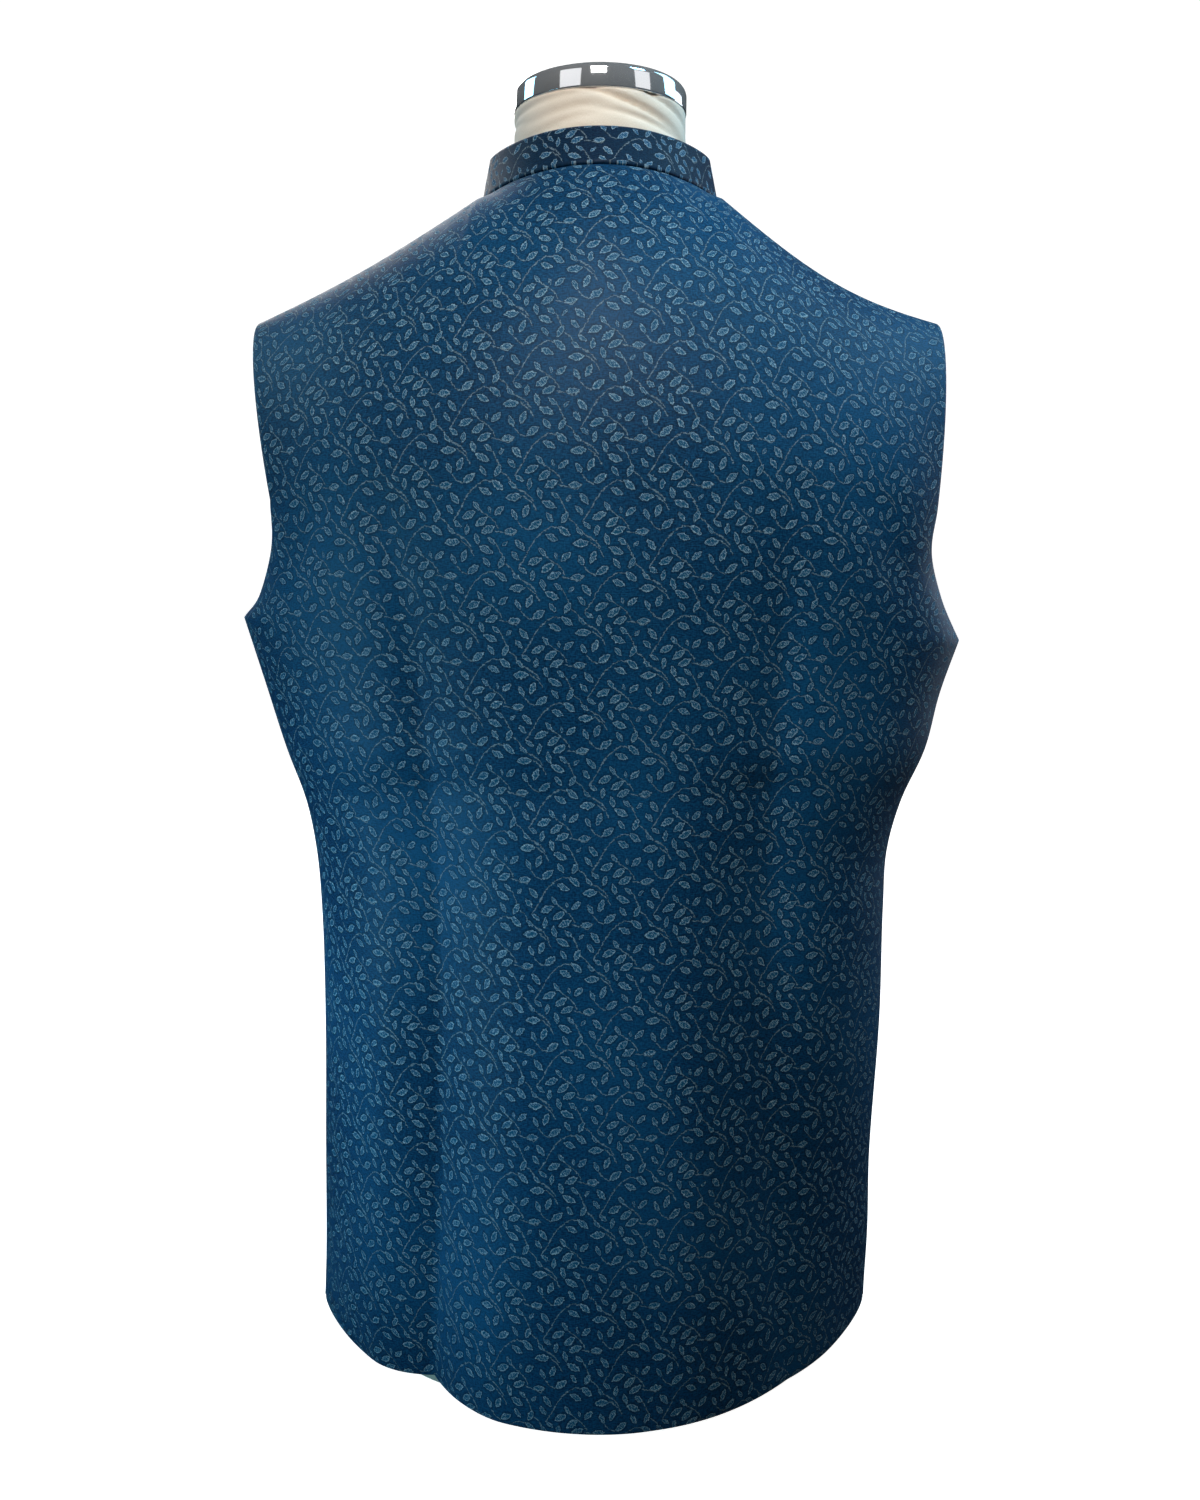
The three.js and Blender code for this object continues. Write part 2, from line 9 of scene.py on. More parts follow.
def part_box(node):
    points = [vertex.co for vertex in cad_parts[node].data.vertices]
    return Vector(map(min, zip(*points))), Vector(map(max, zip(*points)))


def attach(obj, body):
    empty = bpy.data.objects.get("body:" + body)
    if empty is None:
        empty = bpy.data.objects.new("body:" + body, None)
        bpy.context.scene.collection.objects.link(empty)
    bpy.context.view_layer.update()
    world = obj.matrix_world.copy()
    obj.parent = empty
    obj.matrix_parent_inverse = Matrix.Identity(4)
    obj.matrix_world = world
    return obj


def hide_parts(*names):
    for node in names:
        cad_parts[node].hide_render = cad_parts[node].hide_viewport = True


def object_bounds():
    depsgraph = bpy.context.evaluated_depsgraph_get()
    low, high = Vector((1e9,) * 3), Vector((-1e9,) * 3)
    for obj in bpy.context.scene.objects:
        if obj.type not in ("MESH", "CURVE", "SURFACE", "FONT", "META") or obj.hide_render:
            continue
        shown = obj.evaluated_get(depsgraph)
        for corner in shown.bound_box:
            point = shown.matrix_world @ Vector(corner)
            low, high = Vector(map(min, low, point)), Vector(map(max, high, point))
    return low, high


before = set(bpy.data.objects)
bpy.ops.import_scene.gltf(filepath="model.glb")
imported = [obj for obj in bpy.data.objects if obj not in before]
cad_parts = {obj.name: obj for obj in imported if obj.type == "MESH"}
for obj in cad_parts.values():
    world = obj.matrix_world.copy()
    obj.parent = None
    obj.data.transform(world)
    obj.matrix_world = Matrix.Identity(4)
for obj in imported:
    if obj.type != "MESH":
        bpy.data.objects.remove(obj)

# A sleeveless stand-collar jacket on a dress form. Blender works in metres; the cutting
# tables below are a tailor's millimetres and points turn to metres when a mesh is made.
# The jacket faces -Y and the wearer's left is +X.
mm = 0.001
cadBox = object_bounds()


# ---- camera, lights and floor ----

cameraSettings = {"distance": 0.8, "height": 0.558, "pitch": 10, "lens": 28.85, "sensor": 36}


def makeCamera(settings):
    data = bpy.data.cameras.new("camera")
    data.sensor_fit = "VERTICAL"
    data.sensor_height = settings["sensor"]
    data.lens = settings["lens"]
    camera = bpy.data.objects.new("camera", data)
    camera.location = (0, settings["distance"], settings["height"])
    camera.rotation_euler = (math.radians(90 - settings["pitch"]), 0, math.pi)
    bpy.context.scene.collection.objects.link(camera)
    bpy.context.scene.camera = camera


makeCamera(cameraSettings)

# place and aim in metres, size is width and height, power in watts
softboxes = {
    "keyTop": {"place": (0.02, 0.85, 1.25), "aim": (0.0, 0.1, 0.66), "size": (0.3, 0.3), "power": 1.3,
               "colour": (1, 0.98, 0.93), "spread": 70},
    "sideLeft": {"place": (1.15, 0.6, 0.3), "aim": (0.16, 0.1, 0.25), "size": (0.3, 0.3), "power": 0.85,
                 "colour": (0.3, 0.78, 1), "spread": 45},
    "shoulder": {"place": (-0.5, 0.35, 1.3), "aim": (-0.12, 0.05, 0.72), "size": (0.2, 0.2),
                 "power": 0.4, "colour": (0.3, 0.72, 1), "spread": 60},
    "bandLeft": {"place": (0.78, 1.0, 1.12), "aim": (0, 0, 0.82), "size": (0.62, 0.5), "power": 1.1,
                 "colour": (1, 1, 1), "spread": 180},
    "bandRight": {"place": (-1.1, 0.75, 1.12), "aim": (0, 0, 0.82), "size": (0.5, 0.5), "power": 0.85,
                  "colour": (1, 1, 1), "spread": 180},
    "rimRight": {"place": (-0.75, -0.15, 1.2), "aim": (-0.1, 0, 0.7), "size": (0.35, 0.5), "power": 2.4,
                 "colour": (0.35, 0.75, 1), "spread": 180},
    "rimLeft": {"place": (0.85, -0.2, 1.05), "aim": (0.1, 0, 0.7), "size": (0.3, 0.4), "power": 1,
                "colour": (0.35, 0.75, 1), "spread": 120},
    "front": {"place": (0.6, -1.6, 1.3), "aim": (0, 0, 0.45), "size": (1.0, 1.2), "power": 18,
              "colour": (1, 0.98, 0.95), "spread": 180},
    "frontRight": {"place": (-1.4, -0.9, 0.7), "aim": (0, 0, 0.4), "size": (0.6, 1.2), "power": 6,
                   "colour": (0.8, 0.9, 1), "spread": 180},
}


def makeLights(boxes):
    for name, box in boxes.items():
        data = bpy.data.lights.new(name, "AREA")
        data.shape = "RECTANGLE"
        data.size, data.size_y = box["size"]
        data.energy, data.color = box["power"], box["colour"]
        data.spread = math.radians(box["spread"])
        light = bpy.data.objects.new(name, data)
        light.location = box["place"]
        aim = Vector(box["aim"]) - light.location
        light.rotation_euler = aim.to_track_quat("-Z", "Y").to_euler()
        bpy.context.scene.collection.objects.link(light)


makeLights(softboxes)
bpy.context.scene.view_settings.view_transform = "Standard"
print("camera and lights")


# ---- shader sums ----

class Shade:
    # one output socket of a material, written with in plain sums
    def __init__(self, tree, socket=None):
        self.tree = tree
        self.socket = socket

    def add(self, kind, settings=None, inputs=None, output=0):
        node = self.tree.nodes.new("ShaderNode" + kind)
        for name, value in (settings or {}).items():
            if name == "stops":
                self.setStops(node.color_ramp, value)
            else:
                setattr(node, name, value)
        pairs = inputs.items() if isinstance(inputs, dict) else enumerate(inputs or ())
        for place, value in pairs:
            if isinstance(value, Shade):
                self.tree.links.new(value.socket, node.inputs[place])
            else:
                node.inputs[place].default_value = value
        return Shade(self.tree, node.outputs[output] if len(node.outputs) else None)

    def setStops(self, ramp, stops):
        while len(ramp.elements) < len(stops):
            ramp.elements.new(1)
        for element, (place, colour) in zip(ramp.elements, stops):
            element.position, element.color = place, colour

    def sum(self, operation, *values):
        return self.add("Math", {"operation": operation}, values)

    def __add__(self, other):
        return self.sum("ADD", self, other)

    def __radd__(self, other):
        return self.sum("ADD", other, self)

    def __sub__(self, other):
        return self.sum("SUBTRACT", self, other)

    def __rsub__(self, other):
        return self.sum("SUBTRACT", other, self)

    def __mul__(self, other):
        return self.sum("MULTIPLY", self, other)

    def __rmul__(self, other):
        return self.sum("MULTIPLY", other, self)

    def __truediv__(self, other):
        return self.sum("DIVIDE", self, other)

    def __abs__(self):
        return self.sum("ABSOLUTE", self)

    def clipped(self):
        return self.add("Clamp", None, [self, 0.0, 1.0])

    def over(self, other):
        return self.sum("MAXIMUM", self, other)

    def mix(self, factor, first, second, blend="MIX"):
        settings = {"data_type": "RGBA", "blend_type": blend}
        return self.add("Mix", settings, {0: factor, 6: first, 7: second}, 2)

    def vector(self, operation, *values, output=0):
        return self.add("VectorMath", {"operation": operation}, values, output)


def paint(code):
    # a colour written as six hex digits, made linear
    parts = [int(code[i:i + 2], 16) / 255 for i in (0, 2, 4)]
    return (*[c / 12.92 if c <= 0.04045 else ((c + 0.055) / 1.055) ** 2.4 for c in parts], 1)


def newMaterial(name):
    material = bpy.data.materials.new(name)
    material.use_nodes = True
    material.node_tree.nodes.clear()
    return material, Shade(material.node_tree)


def finishMaterial(shade, inputs, normal=None):
    if normal is not None:
        inputs = {**inputs, "Normal": normal}
    surface = shade.add("BsdfPrincipled", None, inputs)
    shade.add("OutputMaterial", None, {"Surface": surface})


def grain(shade):
    return shade.add("UVMap", {"uv_map": "Grain"})


def stretched(shade, uv, across, along):
    return shade.vector("MULTIPLY", uv, (across, along, 1))


# The damask's repeat, charted in millimetres. Each leaf has its middle, the angle of
# its midrib and its length. The motif steps by one column across and half a repeat up.
damask = {
    "across": 36.5, "up": 50, "plump": 0.46, "stemWidth": 0.85, "stemReach": 1.12,
    "leaves": [
        (61, -33.5, 25, 9), (31.5, -12, 35, 9), (35, -16.5, 25, 9), (48, -17, 5, 7.5),
        (25.5, -38.5, 35, 9), (20.5, -31, 65, 8), (42, -6, 40, 7.5), (14, -33, -65, 6.5),
        (33.5, -27.5, -25, 9), (42, -34.5, 60, 7.5), (41.5, -42, -40, 8.5), (23, -16.5, 80, 6.5),
        (14, -23.5, 5, 9.5), (28.5, -21.5, -75, 7), (37, -22.5, -40, 6), (44.5, -24, 45, 4.5),
        (53, -24.5, -50, 8), (33.5, -34.5, -55, 6.5), (50, -30.5, -50, 6.5), (54, -38.5, -35, 6),
        (50, -42, -45, 5.5), (34.5, -45.5, -25, 8), (65.5, -28.5, -55, 6), (73, -30.5, -80, 4),
    ],
    # stems run through these places
    "stems": [
        [(51.5, -37), (56.5, -30), (58.5, -26), (62, -21), (66.5, -17), (71, -14.5), (75.5, -15.5)],
        [(15.5, -36.5), (18.5, -40), (22, -41.5)],
        [(44, -35), (47.5, -37.5), (49.5, -41), (53, -44), (58, -47)],
        [(17, -19), (21.5, -21.5), (25, -26)],
        [(19, -22.5), (24.5, -27), (26.5, -31)],
        [(27, -1.5), (29.5, -4.5), (33, -7.5), (37, -10), (40, -13.5), (41, -16)],
        [(39, -17), (44, -18), (49, -19.5), (52, -16.5)],
        [(39.5, -24), (41.5, -28), (43.5, -33)],
    ],
}


def leafShares(shade, lattice, x, y, angle, length, width):
    # how far along (-1 to 1) and across (-1 to 1) a leaf each point lies
    stepX, stepY = damask["across"], damask["up"]
    place = (x / stepX, y / stepY - x / (2 * stepX), 0)
    near = shade.vector("WRAP", shade.vector("SUBTRACT", lattice, place), (0.5,) * 3, (-0.5,) * 3)
    c, s = math.cos(math.radians(angle)), math.sin(math.radians(angle))
    along = ((stepX * c + stepY / 2 * s) * 2 / length, stepY * s * 2 / length, 0)
    across = ((-stepX * s + stepY / 2 * c) * 2 / width, stepY * c * 2 / width, 0)
    a = shade.vector("DOT_PRODUCT", near, along, output=1)
    b = shade.vector("DOT_PRODUCT", near, across, output=1)
    return a, abs(b)


def leafPattern(shade, pattern):
    # from the place on the cloth in millimetres: how deep inside a leaf or stem, and the midribs
    turned = shade.vector("DOT_PRODUCT", pattern,
                          (-1 / (2 * damask["across"]), 1 / damask["up"], 0), output=1)
    straight = shade.vector("DOT_PRODUCT", pattern, (1 / damask["across"], 0, 0), output=1)
    lattice = shade.add("CombineXYZ", None, [straight, turned, 0.0])
    inside = ribs = stems = None
    for x, y, angle, length in damask["leaves"]:
        a, b = leafShares(shade, lattice, x, y, angle, length, length * damask["plump"])
        leaf = (1 - a * a) - b
        rib = (leaf * 6).clipped().sum("MINIMUM", (b * 4).clipped())
        inside = leaf if inside is None else inside.over(leaf)
        ribs = rib if ribs is None else ribs.over(rib)
    for (x0, y0), (x1, y1) in [ends for stem in damask["stems"] for ends in zip(stem, stem[1:])]:
        angle = math.degrees(math.atan2(y1 - y0, x1 - x0))
        length = math.hypot(x1 - x0, y1 - y0) * damask["stemReach"]
        a, b = leafShares(shade, lattice, (x0 + x1) / 2, (y0 + y1) / 2, angle, length,
                          damask["stemWidth"])
        a = a * a
        stem = (1 - a * a) - b
        stems = stem if stems is None else stems.over(stem)
    return inside, ribs, stems


jacquardLook = {
    "ground": "0e4468", "groundDeep": "04223c", "leaf": "c0e2ec", "leafDark": "154867",
    "shadow": "03182c", "fleck": "17608c", "roughness": 0.5, "leafRoughness": 0.8, "sheen": 0.03,
    "sheenRoughness": 0.3, "sheenTint": "1f86e0", "specular": 0.11, "bump": 0.15,
    "ragged": 2.0, "stem": 0.45,
    "lean": 0.022, "easeBelow": 440, "ease": 0.063,
}


def jacquard(name, offset, look):
    material, shade = newMaterial(name)
    uv = grain(shade)
    flat = stretched(shade, uv, 1 / mm, 1 / mm)
    # the cloth leans a little up the back, and closes up below the hips
    height = shade.vector("DOT_PRODUCT", flat, (0, 1, 0), output=1)
    lean = shade.add("CombineXYZ", None, [height * look["lean"],
                                          (look["easeBelow"] - height).over(0.0) * look["ease"], 0.0])
    place = shade.vector("ADD", shade.vector("ADD", flat, lean), (*offset, 0))
    # leaf edges wander a little with the threads
    ragged = shade.add("TexNoise", None, {"Vector": place, "Scale": 0.75, "Detail": 1.0}, 1)
    ragged = shade.vector("SUBTRACT", ragged, (0.5, 0.5, 0.5))
    pattern = shade.vector("MULTIPLY_ADD", ragged, (look["ragged"],) * 3, place)
    inside, ribs, stems = leafPattern(shade, pattern)
    threads = shade.add("TexNoise", None, {"Vector": stretched(shade, uv, 1100, 560), "Scale": 1.0,
                                           "Detail": 2.0})
    picks = shade.add("TexNoise", None, {"Vector": stretched(shade, uv, 420, 1500), "Scale": 1.0,
                                         "Detail": 0.0})
    cloud = shade.add("TexNoise", None, {"Vector": stretched(shade, uv, 10, 7), "Scale": 1.0,
                                         "Detail": 0.0})
    # satin floats cross the leaves in short slanting lines
    slant = shade.add("VectorRotate", {"rotation_type": "Z_AXIS"}, {"Vector": place, "Angle": 0.9})
    floats = shade.add("TexNoise", None, {"Vector": shade.vector("MULTIPLY", slant, (0.6, 2.0, 1)),
                                          "Scale": 1.0, "Detail": 1.0})
    speck = ((threads - 0.5) * 2.2 + (picks - 0.5) * 1.8 + 0.5).clipped()
    ground = shade.mix(speck, paint(look["groundDeep"]), paint(look["ground"]))
    ground = shade.mix(((cloud - 0.4) * 1.4).clipped() * 0.6, ground, paint(look["fleck"]))
    # a painted shadow darkens the ground in a thin halo round each leaf and stem
    reach = inside.over(stems - 0.1)
    shadow = ((reach + 0.75) * 2).clipped() * 0.55
    ground = shade.mix(shadow, ground, paint(look["shadow"]))
    outline = 1 - ((inside - 0.16) * 5).clipped()
    streak = ((floats - 0.52) * 9).clipped()
    tone = ribs * (outline * 0.65 + streak * 0.6) * (speck * 0.8 + 0.5)
    leaf = shade.mix(tone.clipped(), paint(look["leafDark"]), paint(look["leaf"]))
    mask = (inside * 7).clipped()
    woven = shade.mix(mask, ground, leaf)
    stalk = (stems * 2).clipped() * (speck * 0.5 + 0.2) * (1 - mask) * look["stem"]
    woven = shade.mix(stalk, woven, paint(look["leaf"]))
    bump = shade.add("Bump", None, {"Strength": look["bump"], "Distance": 0.0005, "Height": speck})
    finishMaterial(shade, {
        "Base Color": woven,
        "Roughness": look["roughness"] + mask * (look["leafRoughness"] - look["roughness"]),
        "Sheen Weight": look["sheen"], "Sheen Roughness": look["sheenRoughness"],
        "Sheen Tint": paint(look["sheenTint"]), "Specular IOR Level": look["specular"],
    }, bump)
    return material


def plainWeave(name, dark, light, roughness, scale, depth, sheen=0.0):
    material, shade = newMaterial(name)
    uv = grain(shade)
    threads = shade.add("TexNoise", None, {"Vector": stretched(shade, uv, scale, scale * 0.6),
                                           "Scale": 1.0, "Detail": 2.0})
    wide = shade.add("TexNoise", None, {"Vector": stretched(shade, uv, 14, 11), "Scale": 1.0})
    speck = ((threads - 0.5) * 1.8 + (wide - 0.5) * 0.6 + 0.5).clipped()
    bump = shade.add("Bump", None, {"Strength": depth, "Distance": 0.0004, "Height": threads})
    finishMaterial(shade, {
        "Base Color": shade.mix(speck, paint(dark), paint(light)),
        "Roughness": roughness - speck * 0.12, "Sheen Weight": sheen,
    }, bump)
    return material


def buttonPlastic(name):
    material, shade = newMaterial(name)
    uv = grain(shade)
    swirl = shade.add("TexNoise", None, {"Vector": stretched(shade, uv, 160, 420), "Scale": 1.0,
                                         "Detail": 3.0, "Distortion": 1.2})
    scuff = shade.add("TexNoise", None, {"Vector": stretched(shade, uv, 2600, 900), "Scale": 1.0})
    finishMaterial(shade, {
        "Base Color": shade.mix(((swirl - 0.4) * 3).clipped(), paint("101c30"), paint("24344e")),
        "Roughness": scuff * 0.2 + 0.24, "Coat Weight": 0.3, "Coat Roughness": 0.12,
    })
    return material


def capMetal(name):
    material, shade = newMaterial(name)
    uv = grain(shade)
    hairline = shade.add("TexNoise", None, {"Vector": stretched(shade, uv, 90, 5200), "Scale": 1.0,
                                            "Detail": 2.0})
    smudge = shade.add("TexNoise", None, {"Vector": stretched(shade, uv, 60, 60), "Scale": 1.0})
    finishMaterial(shade, {
        "Base Color": shade.mix(smudge, paint("d4d6da"), paint("e6e6e8")),
        "Roughness": hairline * 0.02 + smudge * 0.03 + 0.03, "Metallic": 0.82,
    })
    return material


def floorMaterial(name, colour, glow):
    material, shade = newMaterial(name)
    finishMaterial(shade, {"Base Color": paint(colour), "Roughness": 0.7,
                           "Emission Color": (1, 1, 1, 1), "Emission Strength": glow})
    return material


materials = {
    "jacquard": jacquard("jacquard", (49, -446), jacquardLook),
    "collar": jacquard("collarJacquard", (12, -8), {
        **jacquardLook, "ground": "0b2942", "groundDeep": "05182c", "fleck": "0e3350", "leaf": "c9dde2",
        "lean": 0, "ease": 0}),
    "lining": plainWeave("lining", "0b1728", "14263e", 0.55, 1400, 0.15),
    "thread": plainWeave("thread", "0c1626", "1c2c44", 0.6, 2600, 0.4, 0.2),
    "cover": plainWeave("cover", "e0ccb6", "f6e6d6", 0.92, 1700, 0.35, 0.1),
    "button": buttonPlastic("buttonPlastic"),
    "cap": capMetal("capMetal"),
}

studio = {
    "floorSize": 60, "floorColour": "f4f4f2", "glow": 1.0, "sky": (1, 1, 1, 1), "backdrop": 1.1,
    "overhead": 0.08, "horizon": 0.02,
}


def makeFloor(settings):
    half = settings["floorSize"] / 2
    corners = [(-half, -half, 0), (half, -half, 0), (half, half, 0), (-half, half, 0)]
    mesh = bpy.data.meshes.new("floor")
    mesh.from_pydata(corners, [], [(0, 1, 2, 3)])
    mesh.materials.append(floorMaterial("floor", settings["floorColour"], settings["glow"]))
    floor = bpy.data.objects.new("floor", mesh)
    floor.location.z = cadBox[0][2]
    floor.visible_diffuse = floor.visible_glossy = False    # its glow is only the backdrop
    bpy.context.scene.collection.objects.link(floor)


def makeWorld(settings):
    world = bpy.data.worlds.new("studio")
    world.use_nodes = True
    world.node_tree.nodes.clear()
    shade = Shade(world.node_tree)
    seen = shade.add("LightPath")
    way = shade.add("TexCoord")
    up = shade.add("SeparateXYZ", None, [way], 2)
    strength = ((up - 0.1) * 4).clipped() * (settings["overhead"] - settings["horizon"]) + settings["horizon"]
    dim = shade.add("Background", None, {"Color": settings["sky"], "Strength": strength})
    bright = shade.add("Background", None, {"Color": settings["sky"], "Strength": settings["backdrop"]})
    shade.add("OutputWorld", None, [shade.add("MixShader", None, [seen, dim, bright])])
    bpy.context.scene.world = world


makeFloor(studio)
makeWorld(studio)
print("materials, floor and sky")


# ---- cutting tables, in millimetres ----

cloth = {
    "wall": 2.0, "collarWall": 3.0, "seamGap": 0.3, "collarGap": 0.7, "overlap": 18, "underlap": 2.8,
    "underlapReach": 45, "ventTop": 74, "ventHalfWidth": 1.6, "ventCurve": 8, "wingStart": 0.4,
    "dartInner": 66, "dartOuter": 44, "dartCurve": 1.7, "rimSteps": 4,
}
neck = {
    "across": 74, "centreY": -4, "deep": 76, "front": 78, "backZ": 767, "sideDip": 2,
    "frontDrop": 77, "frontCurve": 1.6, "pinch": 1.6,
}
shoulder = {"turn": 90, "left": 217, "right": 214.5, "y": -6, "z": 692.6, "hollowLeft": 4, "hollowRight": 11.5}
shares = {"neck": 0.34, "fold": 0.42, "overlap": 0.08, "yokeMiddle": 50, "yokeSeam": 90}
underarmZ = 500

levelNames = ("z", "mid", "left", "right", "wing", "seam", "riseLeft", "riseRight", "turn", "flat")
backLevels = [
    (10, 140, 201, 192.5, 0, 0, 0, 0, 90, 1.55),
    (65, 134, 198.5, 194, 0, 0, 0, 0, 90, 1.45),
    (125, 127, 196.5, 193, 0, 0, 0, 0, 90, 1.4),
    (230, 117, 192.5, 196, 0, 0, 0, 0, 90, 1.3),
    (312, 111, 191.5, 195, 0, 0, 0, 0, 90, 1.2),
    (350, 110, 193.5, 196, 0, 0, 0, 0, 90, 1.2),
    (385, 110.5, 198, 203, 1, 0, 0, 0, 90, 1.15),
    (420, 112, 206.5, 214, 4, 0, 1, -1, 90, 1.1),
    (460, 116, 211, 215, 11, 0, 4, -4, 90, 1.05),
    (500, 120, 212, 215, 22, 0, 8, -9, 90, 1),
    (528, 123.5, 209, 210, 9, 25, -6, -9, 82, 1),
    (556, 126, 202, 204, 1, 50, -6, -10, 70, 1),
    (600, 128, 201, 206, 0, 54, -19, -25, 64, 1),
]
# the front shares the back's edges up to the underarm
frontMiddles = [
    (10, 126, 1.25), (65, 124, 1.25), (125, 121, 1.2), (230, 117, 1.2), (312, 114, 1.15),
    (350, 114, 1.15), (385, 115, 1.1), (420, 117, 1.1), (460, 121, 1.05), (500, 125, 1),
]
frontUpper = [
    (520, 126, 206, 207, 8, 28, 2, -3, 82, 1),
    (540, 127, 197, 198, 1, 56, 10, 4, 68, 1),
    (562, 127.5, 196, 198, 0, 63, 23, 15, 62, 1),
]
foldNames = ("z", "left", "leftDepth", "right", "rightDepth")
backFolds = [
    (10, 120, 17, 125, 2), (125, 112, 16, 115, 8), (218, 107, 14, 108, 10), (311, 105, 13, 104, 10),
    (404, 106, 10, 105, 8), (512, 114, 5, 108, 4), (600, 126, 0, 112, 0),
]
frontFolds = [
    (10, 98, 5, 100, 6), (218, 98, 7, 98, 6), (350, 100, 6, 99, 5), (500, 104, 0, 103, 0),
    (600, 108, 0, 107, 0),
]


def named(names, rows):
    return [dict(zip(names, row)) for row in rows]


backLevels = named(levelNames, backLevels)
frontLevels = [{**back, "mid": mid, "flat": flat} for back, (z, mid, flat) in zip(backLevels, frontMiddles)]
frontLevels += named(levelNames, frontUpper)
backFolds = named(foldNames, backFolds)
frontFolds = named(foldNames, frontFolds)
underarm = [row["z"] for row in backLevels].index(underarmZ)


def curveAt(rows, key, z):
    # a value of a table at height z, on a smooth curve through its rows
    last = len(rows) - 1
    at = min(max(z, rows[0]["z"]), rows[last]["z"])
    i = 0
    while i < last - 1 and at > rows[i + 1]["z"]:
        i += 1

    def slope(a, b):
        return (rows[b][key] - rows[a][key]) / (rows[b]["z"] - rows[a]["z"])

    inner = slope(i, i + 1)
    before = (slope(i - 1, i) + inner) / 2 if i > 0 else inner
    after = (inner + slope(i + 1, i + 2)) / 2 if i + 2 <= last else inner
    span = rows[i + 1]["z"] - rows[i]["z"]
    t = (at - rows[i]["z"]) / span
    t2, t3 = t * t, t ** 3
    return (rows[i][key] * (2 * t3 - 3 * t2 + 1) + rows[i + 1][key] * (3 * t2 - 2 * t3)
            + span * (before * (t3 - 2 * t2 + t) + after * (t3 - t2)))


def rowAt(rows, z):
    return {"z": z, **{key: curveAt(rows, key, z) for key in rows[0] if key != "z"}}


def ease(t):
    t = np.clip(t, 0, 1)
    return t * t * (3 - 2 * t)


def levelPoints(row, fold, side, hand, share):
    # the points of one level for an array of shares, from 0 at the centre line to 1 at the edge
    which = "left" if hand > 0 else "right"
    half, rise = row[which], row["riseLeft" if hand > 0 else "riseRight"]
    foldX, depth = fold[which], fold[which + "Depth"]
    turn = math.radians(row["turn"])

    def angleOf(x):
        return math.asin(x * math.sin(turn) / half)

    def lean(a):
        return np.maximum(np.cos(a), 0) ** row["flat"]

    def place(a):
        x = half * np.sin(a) / math.sin(turn)
        y = row["mid"] - (row["mid"] - row["seam"]) * (1 - lean(a)) / (1 - lean(turn))
        return x, y

    t = (share - shares["fold"]) / (1 - shares["fold"])
    angle = np.where(share < shares["fold"], angleOf(foldX) * share / shares["fold"],
                     angleOf(foldX) * (1 - t) + turn * t)
    angle = np.where(share < 0, angleOf(cloth["overlap"]) * share / shares["overlap"], angle)
    x, y = place(angle)
    across = np.abs(angle) / turn
    foldAtX, foldAtY = place(angleOf(foldX))
    reach = np.where(x < foldAtX, cloth["dartInner"], cloth["dartOuter"])
    near = np.clip(1 - np.hypot(x - foldAtX, y - foldAtY) / reach, 0, 1)
    step = 0.02
    x1, y1 = place(angle - step)
    x2, y2 = place(angle + step)
    inward = max(depth, 0) * near ** cloth["dartCurve"] / np.hypot(x2 - x1, y2 - y1)
    x, y = x + inward * (y2 - y1), y - inward * (x2 - x1)
    x = x + row["wing"] * ease((across - cloth["wingStart"]) / (1 - cloth["wingStart"]))
    return np.stack([hand * x, side * y, row["z"] + rise * across ** 2], -1)


def neckPoints(turn, grow=0):
    # the neck edge; turn is 0 at the back and 180 at the front
    a = np.radians(turn)
    c = np.cos(a)
    front = np.maximum(-c, 0) ** neck["frontCurve"]
    y = np.where(c > 0, (neck["deep"] + grow) * np.maximum(c, 0) ** neck["pinch"],
                 (neck["front"] + grow) * c)
    z = neck["backZ"] - neck["sideDip"] * np.sin(a) ** 2 - neck["frontDrop"] * front
    return np.stack([(neck["across"] + grow) * np.sin(a), neck["centreY"] + y, z], -1)


noInset = {"neck": 0, "sink": 0, "tip": 0, "drop": 0}


def topPoints(side, hand, share, inset):
    # a panel's top line: the neck edge, then the shoulder seam out to its tip
    overlapTurn = math.degrees(math.asin(cloth["overlap"] / neck["across"]))
    reach = shoulder["turn"] if side > 0 else 180 - shoulder["turn"]
    turned = np.where(share < 0, overlapTurn * share / shares["overlap"],
                      reach * np.minimum(share, shares["neck"]) / shares["neck"])
    onNeck = neckPoints(turned if side > 0 else 180 - turned, -inset["neck"])
    onNeck[:, 2] -= inset["sink"]
    t = np.clip((share - shares["neck"]) / (1 - shares["neck"]), 0, 1)[:, None]
    inner = neckPoints(float(shoulder["turn"]), -inset["neck"]) - [0, 0, inset["sink"]]
    tip = shoulder["left" if hand > 0 else "right"] - inset["tip"]
    outer = np.array([tip, shoulder["y"], shoulder["z"] - inset["drop"]])
    onShoulder = inner * (1 - t) + outer * t
    hollow = shoulder["hollowLeft" if hand > 0 else "hollowRight"]
    onShoulder[:, 2] -= hollow * np.sin(math.pi * t[:, 0])
    points = np.where((share <= shares["neck"])[:, None], onNeck, onShoulder)
    points[:, 0] *= hand
    return points


def yokePoints(low, top, share, t):
    # the yoke rises from the last level and bends over to the top line
    bend = ease(np.maximum(share, 0) / shares["neck"])
    turn = np.radians(shares["yokeMiddle"] + (shares["yokeSeam"] - shares["yokeMiddle"]) * bend)
    up = np.sin(t * turn) / np.sin(turn)
    over = (1 - np.cos(t * turn)) / (1 - np.cos(turn))
    return low + (top - low) * np.stack([up, over, up], -1)


